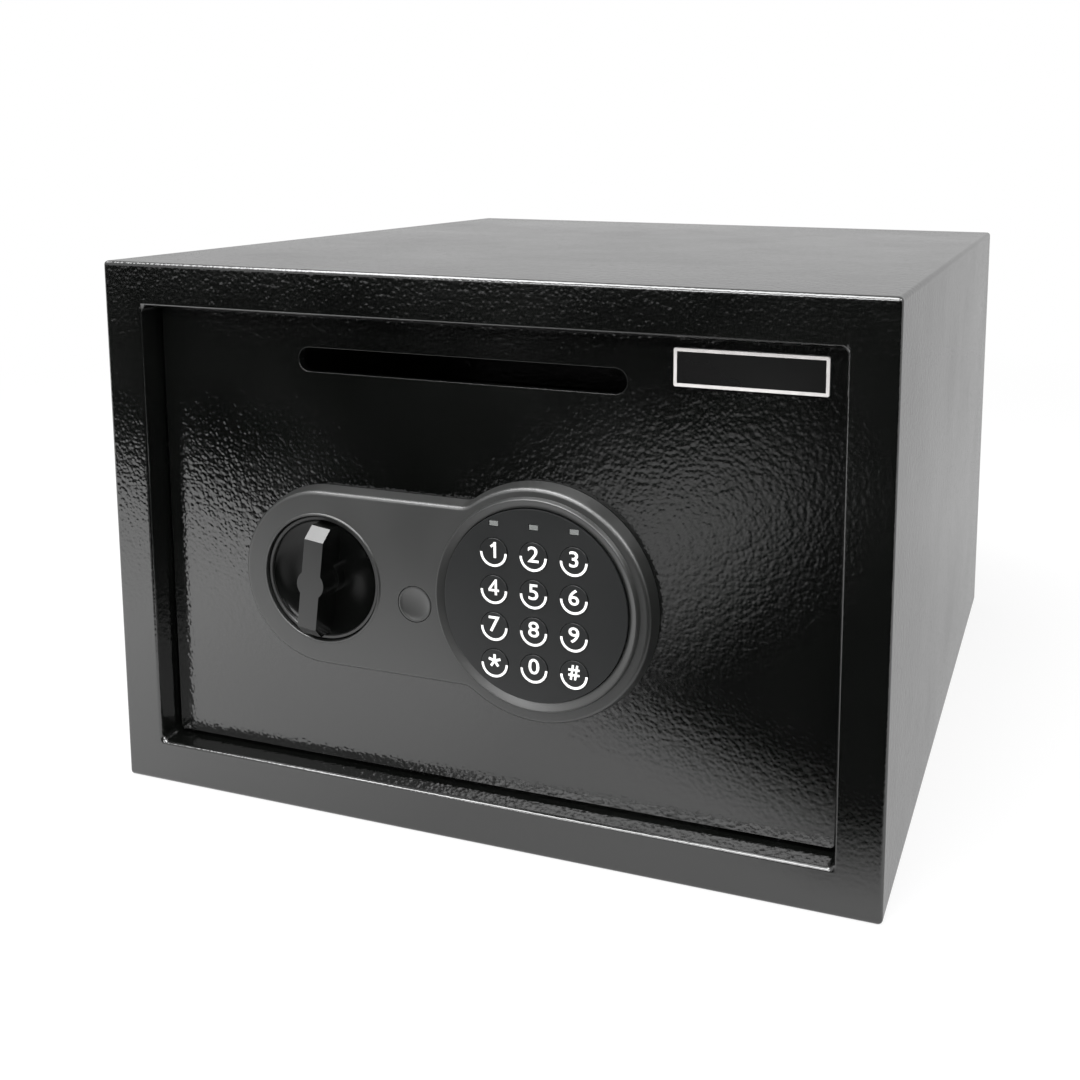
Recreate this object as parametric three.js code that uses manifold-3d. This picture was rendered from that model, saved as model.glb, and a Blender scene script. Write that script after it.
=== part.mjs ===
// Deposit safe: a folded steel box with a recessed door on the right-hand hinge side, a deposit slot
// with a baffle behind it, a raised lock housing with a turning knob, a key cover and a round keypad.
// Millimetres, +Z up. X runs to the right of someone who faces the door, and Y runs to the rear.
// Inside this file Y is 0 at the front flange. The group at the end moves the middle of the
// footprint to the origin.
import * as THREE from "three";
import { mergeVertices } from "three/addons/utils/BufferGeometryUtils.js";
import Module from "manifold-3d";

// Box
const bodyWidth = 365;
const bodyHeight = 250;
const bodyDepth = 385;
const sheet = 2;
const foldRadius = 2;
const flangeWidth = 20;
const openingCornerRadius = 3.5;
const revealReturn = 16;
const anchorHoleRadius = 5.5;
const anchorSpacing = 180;
const anchorHeight = 150;
const anchorHeadRadius = 8;
const anchorHeadThickness = 1.5;
const matThickness = 3;
const matMargin = 3;

// Clearances
const seat = 0.3;
const slack = 0.3;
const doorGap = 2;

// Door
const recess = 12;
const doorThickness = 4;
const doorCornerRadius = 2;
const slotLength = 157;
const slotHeight = 11;
const slotOffset = -8.5;
const slotDrop = 41.5;

// Hinge
const hingeInset = 24;
const hingeSetback = 4.5;
const pinRadius = 3.5;
const pinBlockWidth = 16;
const pinBlockHeight = 30;
const pinBlockDrop = 2;
const pinReach = 13;
const bracketThickness = 3;
const bracketDrop = 4;
const bracketReach = 14.5;
const bracketDepth = 31;

// Door stops and strike
const stopThickness = 3;
const stopOverlap = 3;
const stopWidth = 13;
const stopEndClear = 26;
const strikeHeight = 150;

// Lock housing on the front of the door
const lockDrop = 98;
const knobX = -73;
const keypadSpacing = 105;
const knobEndRadius = 41.5;
const keypadEndRadius = 53;
const neckFillet = 8;
const housingHeight = 8;
const housingDraft = 1.2;
const housingEdgeRadius = 2;
const housingWall = 2.5;
const bezelHeight = 10;
const bezelTopWidth = 1.1;
const bezelWidth = 3.7;
const knobHoleRadius = 29;
const lipWidth = 1.2;
const lipHeight = 0.5;

// Keypad
const faceRadius = 42.3;
const faceRise = 0.8;
const faceThickness = 3;
const faceSink = 0.4;
const keyRadius = 6.3;
const keyProud = 0.4;
const keyPitchAcross = 18.4;
const keyPitchUp = 16.4;
const keyGridDrop = 2;
const keyFlange = 1;
const keyFlangeThickness = 1.5;
const lensWidth = 4;
const lensHeight = 2.2;
const lensRise = 12.7;
const boardThickness = 1.6;
const boardStandOff = 1.6;

// Knob
const knobTilt = 7.2;
const knobRunningGap = 0.6;
const dishBackGap = 0.8;
const dishWall = 1.7;
const dishRimWidth = 1.6;
const dishRimDrop = 1;
const dishFloorRadius = 14;
const gripWidth = 9.4;
const gripHeight = 17;
const gripLength = 51;
const gripBevel = 5;
const gripBossRadius = 6.7;
const knobHubRadius = 8.5;
const spindleRadius = 5;
const spindleSocket = 5;

// Bolt work behind the door
const camRadius = 16;
const camThickness = 3;
const camGap = 1;
const crankRadius = 11;
const crankSwing = 90;
const crankPinRadius = 3;
const crankSlotPlay = 0.6;
const crankPinPast = 1.5;
const boltRadius = 7;
const boltSpacing = 60;
const boltDepth = 11;
const boltLength = 45;
const boltTipInset = 3;
const carrierThickness = 3;
const carrierMargin = 10;
const carrierWeb = 14;
const carrierArmWidth = 12;
const carrierArmRise = 7.5;
const guideThickness = 3;
const guideFoot = 12;
const guideFootThickness = 2;
const guideInset = 8.5;

// Solenoid
const plungerRadius = 3;
const plungerTravel = 4.5;
const plungerLength = 28;
const plungerSpacing = 67;
const notchPlay = 1;
const coilRadius = 8;
const coilLength = 20;
const solenoidSheet = 2;
const solenoidWidth = 20;

// Emergency lock behind the key cover
const overrideSpacing = 47;
const overrideDrop = 6;
const overrideRadius = 8.5;
const overrideLength = 31;
const plugRadius = 5;
const keywayWidth = 1.6;
const keywayHeight = 7;
const keywayDepth = 12;
const camArmLength = 12;
const camArmWidth = 8;
const camArmThickness = 3;
const coverRadius = 8;
const coverThickness = 2.5;
const coverDish = 0.9;

// Inner cover with the battery compartment
const caseClear = 2;
const caseReach = 34;
const caseDrop = 58.5;
const caseRise = 59.5;
const caseDepth = 44;
const caseSheet = 2;
const bossInset = 10;
const bossRadius = 4;
const screwRadius = 2;
const screwHeadRadius = 3.6;
const screwHeadThickness = 2;
const screwBite = 2.5;
const cellRadius = 7.25;
const cellLength = 50.5;
const cellPitch = 15;
const cellCount = 4;
const cellEndRoom = 5.5;
const holderWall = 2;
const holderSetBack = 3;
const holderOffset = 6;
const holderDrop = 3.5;
const batteryCoverThickness = 2;
const batteryCoverOverlap = 7;
const railLip = 2.2;
const gripRibs = 4;
const gripRibPitch = 3;
const gripRibWidth = 1.2;
const gripRibLength = 24;
const gripRibHeight = 0.8;
const resetRadius = 4;
const resetLength = 10;
const resetProud = 2;
const resetOffset = 4;
const resetDrop = 48.5;
const circuitWidth = 38;
const circuitLength = 72.5;
const circuitOffset = 10;
const circuitDrop = 30.5;
const circuitStandOff = 3.7;
const studRadius = 2.5;
const studInset = 5;
const mouthMargin = 2;
const cableRadius = 2.5;
const cableOffset = 10;

// Deposit baffle behind the slot
const baffleSheet = 1.5;
const baffleSideRoom = 6.5;
const baffleRoomAbove = 8.2;
const baffleDepth = 72;
const baffleSkirt = 33;
const rampDrop = 1.5;
const rampFall = 18;
const rampLength = 52;

// Plain name plate
const plateWidth = 63.5;
const plateHeight = 15.7;
const plateThickness = 1;
const plateSideMargin = 6.7;
const plateTopMargin = 3.8;

// Facets
const turns = 32;
const smallTurns = 20;
const arcSteps = 4;

// Places worked out from the sizes above
const halfWidth = bodyWidth / 2;
const openingHalf = halfWidth - flangeWidth;
const openingBottom = flangeWidth;
const openingTop = bodyHeight - flangeWidth;
const doorHalf = openingHalf - doorGap;
const doorBottom = openingBottom + doorGap;
const doorTop = openingTop - doorGap;
const doorFront = recess;
const doorRear = recess + doorThickness;
const slotHeightAbove = bodyHeight - slotDrop;
const lockHeight = slotHeightAbove - lockDrop;
const keypadX = knobX + keypadSpacing;
const overrideX = knobX + overrideSpacing;
const overrideHeight = lockHeight - overrideDrop;
const plungerX = knobX + plungerSpacing;
const housingBack = doorFront - seat;
const housingFace = doorFront - housingHeight;
const bezelFace = doorFront - bezelHeight;
const hingeX = doorHalf - hingeInset;
const hingeY = doorRear + hingeSetback;
const boltY = doorRear + boltDepth;
const boltTip = -doorHalf + boltTipInset;
const boltHeel = boltTip + boltLength;
const boltTravel = 2 * crankRadius * Math.sin(THREE.MathUtils.degToRad(crankSwing / 2));
const caseRear = doorRear + caseDepth;
const caseLeft = -doorHalf + guideInset + guideThickness + guideFoot + caseClear;
const caseRight = keypadX + caseReach;
const caseBottom = lockHeight - caseDrop;
const caseTop = lockHeight + caseRise;
const holderX = keypadX - holderOffset;
const holderHeight = lockHeight - holderDrop;
const circuitLeft = keypadX - circuitOffset;
const circuitRight = circuitLeft + circuitWidth;
const circuitBottom = lockHeight - circuitDrop;
const circuitTop = circuitBottom + circuitLength;
const cableX = keypadX + cableOffset;
const resetX = keypadX + resetOffset;
const resetHeight = lockHeight - resetDrop;
const faceHeight = lockHeight + faceRise;
const keyGridCentre = lockHeight - keyGridDrop;
const lensRow = keyGridCentre + 1.5 * keyPitchUp + lensRise;

const wasm = await Module();
wasm.setup();

// Geometry helpers

// A closed three.js geometry as a solid, with its faces turned outwards.
function solidOf(geometry) {
  const loose = new THREE.BufferGeometry();
  const source = geometry.index ? geometry.toNonIndexed() : geometry;
  loose.setAttribute("position", source.getAttribute("position"));
  const merged = mergeVertices(loose, 1e-4);
  const vertProperties = merged.attributes.position.array;
  const triVerts = new Uint32Array(merged.index.array);
  const made = new wasm.Manifold(new wasm.Mesh({ numProp: 3, vertProperties, triVerts }));
  if (made.volume() >= 0) return made;
  for (let i = 0; i < triVerts.length; i += 3) {
    const second = triVerts[i + 1];
    triVerts[i + 1] = triVerts[i + 2];
    triVerts[i + 2] = second;
  }
  return new wasm.Manifold(new wasm.Mesh({ numProp: 3, vertProperties, triVerts }));
}

function geometryOf(solid) {
  const { vertProperties, triVerts } = solid.getMesh();
  const geometry = new THREE.BufferGeometry();
  geometry.setAttribute("position", new THREE.BufferAttribute(vertProperties, 3));
  geometry.setIndex(new THREE.BufferAttribute(triVerts, 1));
  const faceted = geometry.toNonIndexed();
  faceted.computeVertexNormals();
  return faceted;
}

function join(...solids) {
  return solids.reduce((whole, piece) => whole.add(piece));
}

function cut(solid, ...cutters) {
  return cutters.reduce((left, cutter) => left.subtract(cutter), solid);
}

// A span made longer by the same amount at both ends.
function grown([low, high], by) {
  return [low - by, high + by];
}

// A box between two corners.
function block([x0, x1], [y0, y1], [z0, z1]) {
  const box = new THREE.BoxGeometry(x1 - x0, y1 - y0, z1 - z0);
  return solidOf(box.translate((x0 + x1) / 2, (y0 + y1) / 2, (z0 + z1) / 2));
}

// Points of an arc in the XZ plane, both ends included.
function arc(x, z, radius, fromDegrees, toDegrees, steps = arcSteps) {
  return Array.from({ length: steps + 1 }, (_, i) => {
    const angle = THREE.MathUtils.degToRad(fromDegrees + ((toDegrees - fromDegrees) * i) / steps);
    return [x + radius * Math.cos(angle), z + radius * Math.sin(angle)];
  });
}

// A rounded rectangle in the XZ plane, counterclockwise from its lower right corner.
function roundedRectangle([x0, x1], [z0, z1], radius) {
  return [
    ...arc(x1 - radius, z0 + radius, radius, -90, 0),
    ...arc(x1 - radius, z1 - radius, radius, 0, 90),
    ...arc(x0 + radius, z1 - radius, radius, 90, 180),
    ...arc(x0 + radius, z0 + radius, radius, 180, 270),
  ];
}

function circle(x, z, radius, steps = turns) {
  return arc(x, z, radius, 0, 360, steps).slice(0, -1);
}

// A flat plate with the outline in the XZ plane, from its front face rearwards.
function plate(outline, front, thickness, holes = []) {
  const shape = new THREE.Shape(outline.map(([x, z]) => new THREE.Vector2(x, z)));
  const slab = new THREE.ExtrudeGeometry(shape, { depth: thickness, bevelEnabled: false });
  const full = solidOf(slab.rotateX(Math.PI / 2).translate(0, front + thickness, 0));
  return cut(full, ...holes.map((hole) => plate(hole, front - 1, thickness + 2)));
}

// A plate standing in the YZ plane, with the outline as [y, z] points and its left face at x.
function standingPlate(outline, x, thickness) {
  const shape = new THREE.Shape(outline.map(([y, z]) => new THREE.Vector2(y, z)));
  const slab = new THREE.ExtrudeGeometry(shape, { depth: thickness, bevelEnabled: false });
  return solidOf(slab.rotateX(Math.PI / 2).rotateZ(Math.PI / 2).translate(x, 0, 0));
}

// A stack of outlines of equal length, [y, points], joined by walls and closed at both ends.
function loft(sections) {
  const count = sections[0][1].length;
  const corners = sections.flatMap(([y, points]) => points.map(([x, z]) => [x, y, z]));
  const triangles = [];
  for (let row = 0; row < sections.length - 1; row += 1) {
    for (let i = 0; i < count; i += 1) {
      const a = row * count + i;
      const b = row * count + ((i + 1) % count);
      triangles.push([a, b, b + count], [a, b + count, a + count]);
    }
  }
  const flat = (points) => points.map(([x, z]) => new THREE.Vector2(x, z));
  const top = (sections.length - 1) * count;
  for (const [a, b, c] of THREE.ShapeUtils.triangulateShape(flat(sections[0][1]), [])) {
    triangles.push([a, c, b]);
  }
  for (const [a, b, c] of THREE.ShapeUtils.triangulateShape(flat(sections.at(-1)[1]), [])) {
    triangles.push([top + a, top + b, top + c]);
  }
  const geometry = new THREE.BufferGeometry();
  geometry.setAttribute("position", new THREE.Float32BufferAttribute(corners.flat(), 3));
  geometry.setIndex(triangles.flat());
  return solidOf(geometry);
}

// A turned piece: [radius, position along the axis] points that start and end on the axis.
function turnedGeometry(profile, steps) {
  return new THREE.LatheGeometry(profile.map(([r, along]) => new THREE.Vector2(r, along)), steps);
}

function turnedAlongY(profile, x, z, steps = turns) {
  return solidOf(turnedGeometry(profile, steps).translate(x, 0, z));
}

function turnedAlongX(profile, y, z, steps = smallTurns) {
  return solidOf(turnedGeometry(profile, steps).rotateZ(-Math.PI / 2).translate(0, y, z));
}

function turnedAlongZ(profile, x, y, steps = smallTurns) {
  return solidOf(turnedGeometry(profile, steps).rotateX(Math.PI / 2).translate(x, y, 0));
}

function rodProfile(radius, from, to) {
  return [[0, from], [radius, from], [radius, to], [0, to]];
}

function rodAlongY(radius, [from, to], x, z, steps = turns) {
  return turnedAlongY(rodProfile(radius, from, to), x, z, steps);
}

// A solid turned clockwise, as seen from the front, about a line along Y.
function turnedClockwise(solid, degrees, x, z) {
  const geometry = geometryOf(solid).translate(-x, 0, -z);
  return solidOf(geometry.rotateY(THREE.MathUtils.degToRad(degrees)).translate(x, 0, z));
}

// Finishes
const finishes = {
  powderCoat: new THREE.MeshStandardMaterial({ color: 0x1f211f, roughness: 0.3, metalness: 0.1 }),
  housingPlastic: new THREE.MeshStandardMaterial({ color: 0x343735, roughness: 0.42 }),
  facePlastic: new THREE.MeshStandardMaterial({ color: 0x2a2c2d, roughness: 0.35 }),
  knobPlastic: new THREE.MeshStandardMaterial({ color: 0x3a3c3b, roughness: 0.4 }),
  lensPlastic: new THREE.MeshStandardMaterial({ color: 0x808684, roughness: 0.25 }),
  plateMetal: new THREE.MeshStandardMaterial({ color: 0x121313, roughness: 0.3, metalness: 0.4 }),
  zincSteel: new THREE.MeshStandardMaterial({ color: 0xb4b8bb, roughness: 0.35, metalness: 1 }),
  polishedSteel: new THREE.MeshStandardMaterial({ color: 0xc8cacb, roughness: 0.18, metalness: 1 }),
  brass: new THREE.MeshStandardMaterial({ color: 0xb08d4a, roughness: 0.3, metalness: 1 }),
  coilTape: new THREE.MeshStandardMaterial({ color: 0xa8772a, roughness: 0.5 }),
  board: new THREE.MeshStandardMaterial({ color: 0x1d5a34, roughness: 0.4 }),
  coverPlastic: new THREE.MeshStandardMaterial({ color: 0x232524, roughness: 0.5 }),
  cellJacket: new THREE.MeshStandardMaterial({ color: 0x3d5d86, roughness: 0.35 }),
  redPlastic: new THREE.MeshStandardMaterial({ color: 0xa51f1c, roughness: 0.35 }),
  felt: new THREE.MeshStandardMaterial({ color: 0x3b3c3e, roughness: 0.95 }),
  plugRubber: new THREE.MeshStandardMaterial({ color: 0x181818, roughness: 0.7 }),
  cableJacket: new THREE.MeshStandardMaterial({ color: 0x9a9c9e, roughness: 0.5 }),
};

const safe = new THREE.Group();

function addPiece(name, solid, material) {
  const mesh = new THREE.Mesh(geometryOf(solid), material);
  mesh.name = name;
  safe.add(mesh);
}

// Box

// The folded box: four walls, the front flange, and the return that lines the door opening.
function bodyShell() {
  const outerAt = (inset) =>
    roundedRectangle([-halfWidth + inset, halfWidth - inset], [inset, bodyHeight - inset], foldRadius);
  const innerX = [-halfWidth + sheet, halfWidth - sheet];
  const innerZ = [sheet, bodyHeight - sheet];
  const folds = arc(0, 0, foldRadius, 0, 90, 3);
  const front = folds.map(([across, along]) => [foldRadius - along, outerAt(foldRadius - across)]);
  const outside = loft([...front.reverse(), [bodyDepth, outerAt(0)]]);
  const inside = block(innerX, [sheet, bodyDepth + sheet], innerZ);
  const openingAt = (grow) =>
    roundedRectangle(
      [-openingHalf - grow, openingHalf + grow],
      [openingBottom - grow, openingTop + grow],
      openingCornerRadius + grow,
    );
  const lining = plate(openingAt(sheet), sheet / 2, revealReturn - sheet / 2);
  const flare = folds.map(([across, along]) => [foldRadius - across, openingAt(foldRadius - along)]);
  const opening = loft([
    [-1, openingAt(foldRadius)],
    ...flare,
    [revealReturn + 1, openingAt(0)],
  ]);
  return cut(join(cut(outside, inside), lining), opening);
}

function anchorPlaces() {
  return [["left", -anchorSpacing / 2], ["right", anchorSpacing / 2]];
}

function rearPanel() {
  const outline = roundedRectangle(
    [-halfWidth + sheet + seat, halfWidth - sheet - seat],
    [sheet + seat, bodyHeight - sheet - seat],
    foldRadius / 2,
  );
  const holes = anchorPlaces().map(([, x]) => circle(x, anchorHeight, anchorHoleRadius, smallTurns));
  return plate(outline, bodyDepth - sheet, sheet, holes);
}

function anchorPlug(x) {
  const headBack = bodyDepth - sheet - seat;
  const stem = anchorHoleRadius - slack;
  const profile = [
    [0, headBack - anchorHeadThickness],
    [anchorHeadRadius - anchorHeadThickness / 2, headBack - anchorHeadThickness],
    [anchorHeadRadius, headBack - anchorHeadThickness / 2],
    [anchorHeadRadius, headBack],
    [stem, headBack],
    [stem, bodyDepth - seat],
    [0, bodyDepth - seat],
  ];
  return turnedAlongY(profile, x, anchorHeight, smallTurns);
}

function floorMat() {
  const side = halfWidth - sheet - matMargin;
  const bottom = sheet + seat;
  const ends = [revealReturn + matMargin, bodyDepth - sheet - matMargin];
  return block([-side, side], ends, [bottom, bottom + matThickness]);
}

// Hinge, stops and strike

// A plate welded behind the flange, with the hole that a hinge pin turns in. level is its lower face.
function hingeBracket(level) {
  const slab = block(
    [hingeX - bracketReach, halfWidth - sheet - seat],
    [sheet + seat, sheet + seat + bracketDepth],
    [level, level + bracketThickness],
  );
  const hole = rodProfile(pinRadius + slack, level - 1, level + bracketThickness + 1);
  return cut(slab, turnedAlongZ(hole, hingeX, hingeY));
}

const lowerBracketLevel = openingBottom - bracketDrop - bracketThickness;
const upperBracketLevel = openingTop + bracketDrop;

// The pin and the block that welds it to the back of the door. up is 1 for the upper pin, -1 below.
function hingePin(up) {
  const edge = up > 0 ? doorTop : doorBottom;
  const near = edge - up * pinBlockDrop;
  const far = near - up * pinBlockHeight;
  const tip = edge + up * pinReach;
  const span = (a, b) => [Math.min(a, b), Math.max(a, b)];
  const backOfBlock = hingeY + pinRadius + 1;
  const weldBlock = block(
    [hingeX - pinBlockWidth / 2, hingeX + pinBlockWidth / 2],
    [doorRear + seat, backOfBlock],
    span(near, far),
  );
  const [low, high] = span(near - up * pinBlockHeight / 2, tip);
  return join(weldBlock, turnedAlongZ(rodProfile(pinRadius, low, high), hingeX, hingeY));
}

// A strip behind the frame that the door's upper or lower edge rests against.
function doorStop(up) {
  const inner = up > 0 ? doorTop - stopOverlap : doorBottom + stopOverlap;
  const outer = inner + up * stopWidth;
  const level = [Math.min(inner, outer), Math.max(inner, outer)];
  const behind = revealReturn + seat;
  return block([-doorHalf, hingeX - stopEndClear], [behind, behind + stopThickness], level);
}

// The flat bar behind the left flange that the bolts catch.
function strikeBar() {
  const behind = revealReturn + seat;
  return block(
    [-halfWidth + sheet + seat, -openingHalf - seat],
    [behind, behind + stopThickness],
    [lockHeight - strikeHeight / 2, lockHeight + strikeHeight / 2],
  );
}

// Door

function slotOutline() {
  const half = slotHeight / 2;
  const x0 = slotOffset - slotLength / 2 + half;
  const x1 = slotOffset + slotLength / 2 - half;
  return [
    ...arc(x1, slotHeightAbove, half, -90, 90, 2 * arcSteps),
    ...arc(x0, slotHeightAbove, half, 90, 270, 2 * arcSteps),
  ];
}

// The four corner screws of the inner cover, as [x, z].
function caseScrewPlaces() {
  return [caseLeft + bossInset, caseRight - bossInset].flatMap((x) =>
    [caseBottom + bossInset, caseTop - bossInset].map((z) => [x, z]),
  );
}

function circuitStudPlaces() {
  return [
    [circuitLeft + studInset, circuitBottom + studInset],
    [circuitRight - studInset, circuitTop - studInset],
  ];
}

function doorPlate() {
  const outline = roundedRectangle([-doorHalf, doorHalf], [doorBottom, doorTop], doorCornerRadius);
  const holes = [
    slotOutline(),
    circle(knobX, lockHeight, spindleRadius + slack, smallTurns),
    circle(overrideX, overrideHeight, overrideRadius + slack, smallTurns),
    circle(cableX, lockHeight, cableRadius + 2 * slack, smallTurns),
  ];
  const panel = plate(outline, doorFront, doorThickness, holes);
  const studs = circuitStudPlaces().map(([x, z]) =>
    rodAlongY(studRadius, [doorRear - 1, doorRear + circuitStandOff - seat], x, z, smallTurns),
  );
  const tappedHoles = caseScrewPlaces().map(([x, z]) =>
    rodAlongY(screwRadius + slack, [doorRear - screwBite - slack, doorRear + 1], x, z, smallTurns),
  );
  return cut(join(panel, ...studs), ...tappedHoles);
}

function namePlate() {
  const right = doorHalf - plateSideMargin;
  const top = doorTop - plateTopMargin;
  const outline = roundedRectangle([right - plateWidth, right], [top - plateHeight, top], 0.5);
  return plate(outline, doorFront - seat - plateThickness, plateThickness);
}

// The baffle that lets notes slide in and drop, and keeps fingers out.
function depositBaffle() {
  const x0 = slotOffset - slotLength / 2 - baffleSideRoom;
  const x1 = slotOffset + slotLength / 2 + baffleSideRoom;
  const top = slotHeightAbove + slotHeight / 2 + baffleRoomAbove;
  const bottom = top - baffleSkirt;
  const front = doorRear + seat;
  const rear = doorRear + baffleDepth;
  const roof = block([x0, x1], [front, rear], [top - baffleSheet, top]);
  const back = block([x0, x1], [rear - baffleSheet, rear], [bottom, top]);
  const cheek = (x) => block([x, x + baffleSheet], [front, rear], [bottom, top]);
  const lipTop = slotHeightAbove - slotHeight / 2 - rampDrop;
  const rampOutline = [
    [front, lipTop - baffleSheet],
    [front + rampLength, lipTop - rampFall - baffleSheet],
    [front + rampLength, lipTop - rampFall],
    [front, lipTop],
  ];
  const ramp = standingPlate(rampOutline, x0, x1 - x0);
  const skirtCorner = [front, lipTop - rampFall - baffleSheet];
  const cheekFoot = (x) => standingPlate([skirtCorner, ...rampOutline.slice(1)], x, baffleSheet);
  return join(
    roof, back, cheek(x0), cheek(x1 - baffleSheet), ramp, cheekFoot(x0), cheekFoot(x1 - baffleSheet),
  );
}

// Lock housing

// The outline of the housing, a small round end and a large one joined by a neck, moved inwards
// by inset. Counterclockwise, as [x, z].
function housingOutline(inset) {
  const filletReach = knobEndRadius + neckFillet;
  const filletX = keypadX - Math.sqrt((keypadEndRadius + neckFillet) ** 2 - filletReach ** 2);
  const lean = THREE.MathUtils.radToDeg(Math.atan2(filletReach, keypadX - filletX));
  const neckArc = neckFillet + inset;
  return [
    ...arc(knobX, lockHeight, knobEndRadius - inset, 90, 270, 20),
    ...arc(filletX, lockHeight - filletReach, neckArc, 90, lean, 4),
    ...arc(keypadX, lockHeight, keypadEndRadius - inset, lean + 180, 540 - lean, turns),
    ...arc(filletX, lockHeight + filletReach, neckArc, -lean, -90, 4),
  ];
}

function lockHousing() {
  const edge = arc(0, 0, housingEdgeRadius, 0, 90, 4);
  const edgeStart = housingFace + housingEdgeRadius;
  const rows = edge.map(([across, along]) => [
    edgeStart - along,
    housingOutline(housingDraft + housingEdgeRadius - across),
  ]);
  const shell = loft([[housingBack, housingOutline(0)], ...rows]);
  const bezelInner = faceRadius + slack;
  const bezelProfile = [
    [0, housingFace + 1],
    [bezelInner + bezelWidth, housingFace + 1],
    [bezelInner + bezelWidth, housingFace],
    [bezelInner + bezelTopWidth, bezelFace + 0.4],
    [bezelInner + bezelTopWidth * 0.7, bezelFace],
    [0, bezelFace],
  ];
  const bezel = turnedAlongY(bezelProfile, keypadX, faceHeight, 2 * turns);
  const lipProfile = [
    [0, housingFace + 1],
    [knobHoleRadius + lipWidth, housingFace + 1],
    [knobHoleRadius + lipWidth, housingFace],
    [knobHoleRadius + lipWidth / 2, housingFace - lipHeight],
    [0, housingFace - lipHeight],
  ];
  const lip = turnedAlongY(lipProfile, knobX, lockHeight, 2 * turns);
  const roomFront = housingFace + housingWall;
  const hollow = loft([
    [roomFront, housingOutline(housingWall + housingDraft)],
    [housingBack + 1, housingOutline(housingWall)],
  ]);
  const room = cut(
    hollow,
    rodAlongY(knobHoleRadius + housingWall, [roomFront - 1, housingBack + 1], knobX, lockHeight),
    rodAlongY(faceRadius + slack + housingWall, [roomFront - 1, housingBack + 1], keypadX, faceHeight),
  );
  const through = [bezelFace - 1, housingBack + 1];
  return cut(
    join(shell, bezel, lip),
    room,
    rodAlongY(knobHoleRadius, through, knobX, lockHeight, 2 * turns),
    rodAlongY(bezelInner, through, keypadX, faceHeight, 2 * turns),
    rodAlongY(coverRadius + slack, through, overrideX, overrideHeight),
  );
}

// Keypad

// Key names from the top row down, each with its place [x, z].
function keyPlaces() {
  const rows = [["1", "2", "3"], ["4", "5", "6"], ["7", "8", "9"], ["star", "0", "hash"]];
  return rows.flatMap((names, row) =>
    names.map((name, column) => ({
      name: `key_${name}`,
      x: keypadX + (column - 1) * keyPitchAcross,
      z: keyGridCentre + (1.5 - row) * keyPitchUp,
    })),
  );
}

const faceFront = bezelFace + faceSink;
const faceBack = faceFront + faceThickness;
const boardFront = housingBack - boardStandOff - boardThickness;

function lensPlaces() {
  return [-1, 0, 1].map((column) => keypadX + column * keyPitchAcross);
}

function rectangle(x, z, width, height) {
  return [
    [x - width / 2, z - height / 2],
    [x + width / 2, z - height / 2],
    [x + width / 2, z + height / 2],
    [x - width / 2, z + height / 2],
  ];
}

function keypadFace() {
  const keyHoles = keyPlaces().map(({ x, z }) => circle(x, z, keyRadius + slack, smallTurns));
  const lensHoles = lensPlaces().map((x) =>
    rectangle(x, lensRow, lensWidth + 2 * slack, lensHeight + 2 * slack),
  );
  const outline = circle(keypadX, faceHeight, faceRadius, 2 * turns);
  return plate(outline, faceFront, faceThickness, [...keyHoles, ...lensHoles]);
}

function key(x, z) {
  const front = faceFront - keyProud;
  const flangeFront = faceBack + slack;
  const profile = [
    [0, front],
    [keyRadius * 0.85, front + 0.2],
    [keyRadius, front + 0.6],
    [keyRadius, flangeFront],
    [keyRadius + keyFlange, flangeFront],
    [keyRadius + keyFlange, flangeFront + keyFlangeThickness],
    [0, flangeFront + keyFlangeThickness],
  ];
  return turnedAlongY(profile, x, z, smallTurns);
}

function indicatorLens(x) {
  const back = boardFront - seat;
  return plate(rectangle(x, lensRow, lensWidth, lensHeight), faceFront + 0.1, back - faceFront - 0.1);
}

function keypadBoard() {
  const outline = circle(keypadX, faceHeight, faceRadius);
  return plate(outline, boardFront, boardThickness);
}

function keypadCable() {
  const span = [boardFront + boardThickness + seat, doorRear + circuitStandOff - seat];
  return rodAlongY(cableRadius, span, cableX, lockHeight, smallTurns);
}

// Knob

const knobRimRadius = knobHoleRadius - knobRunningGap;

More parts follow.
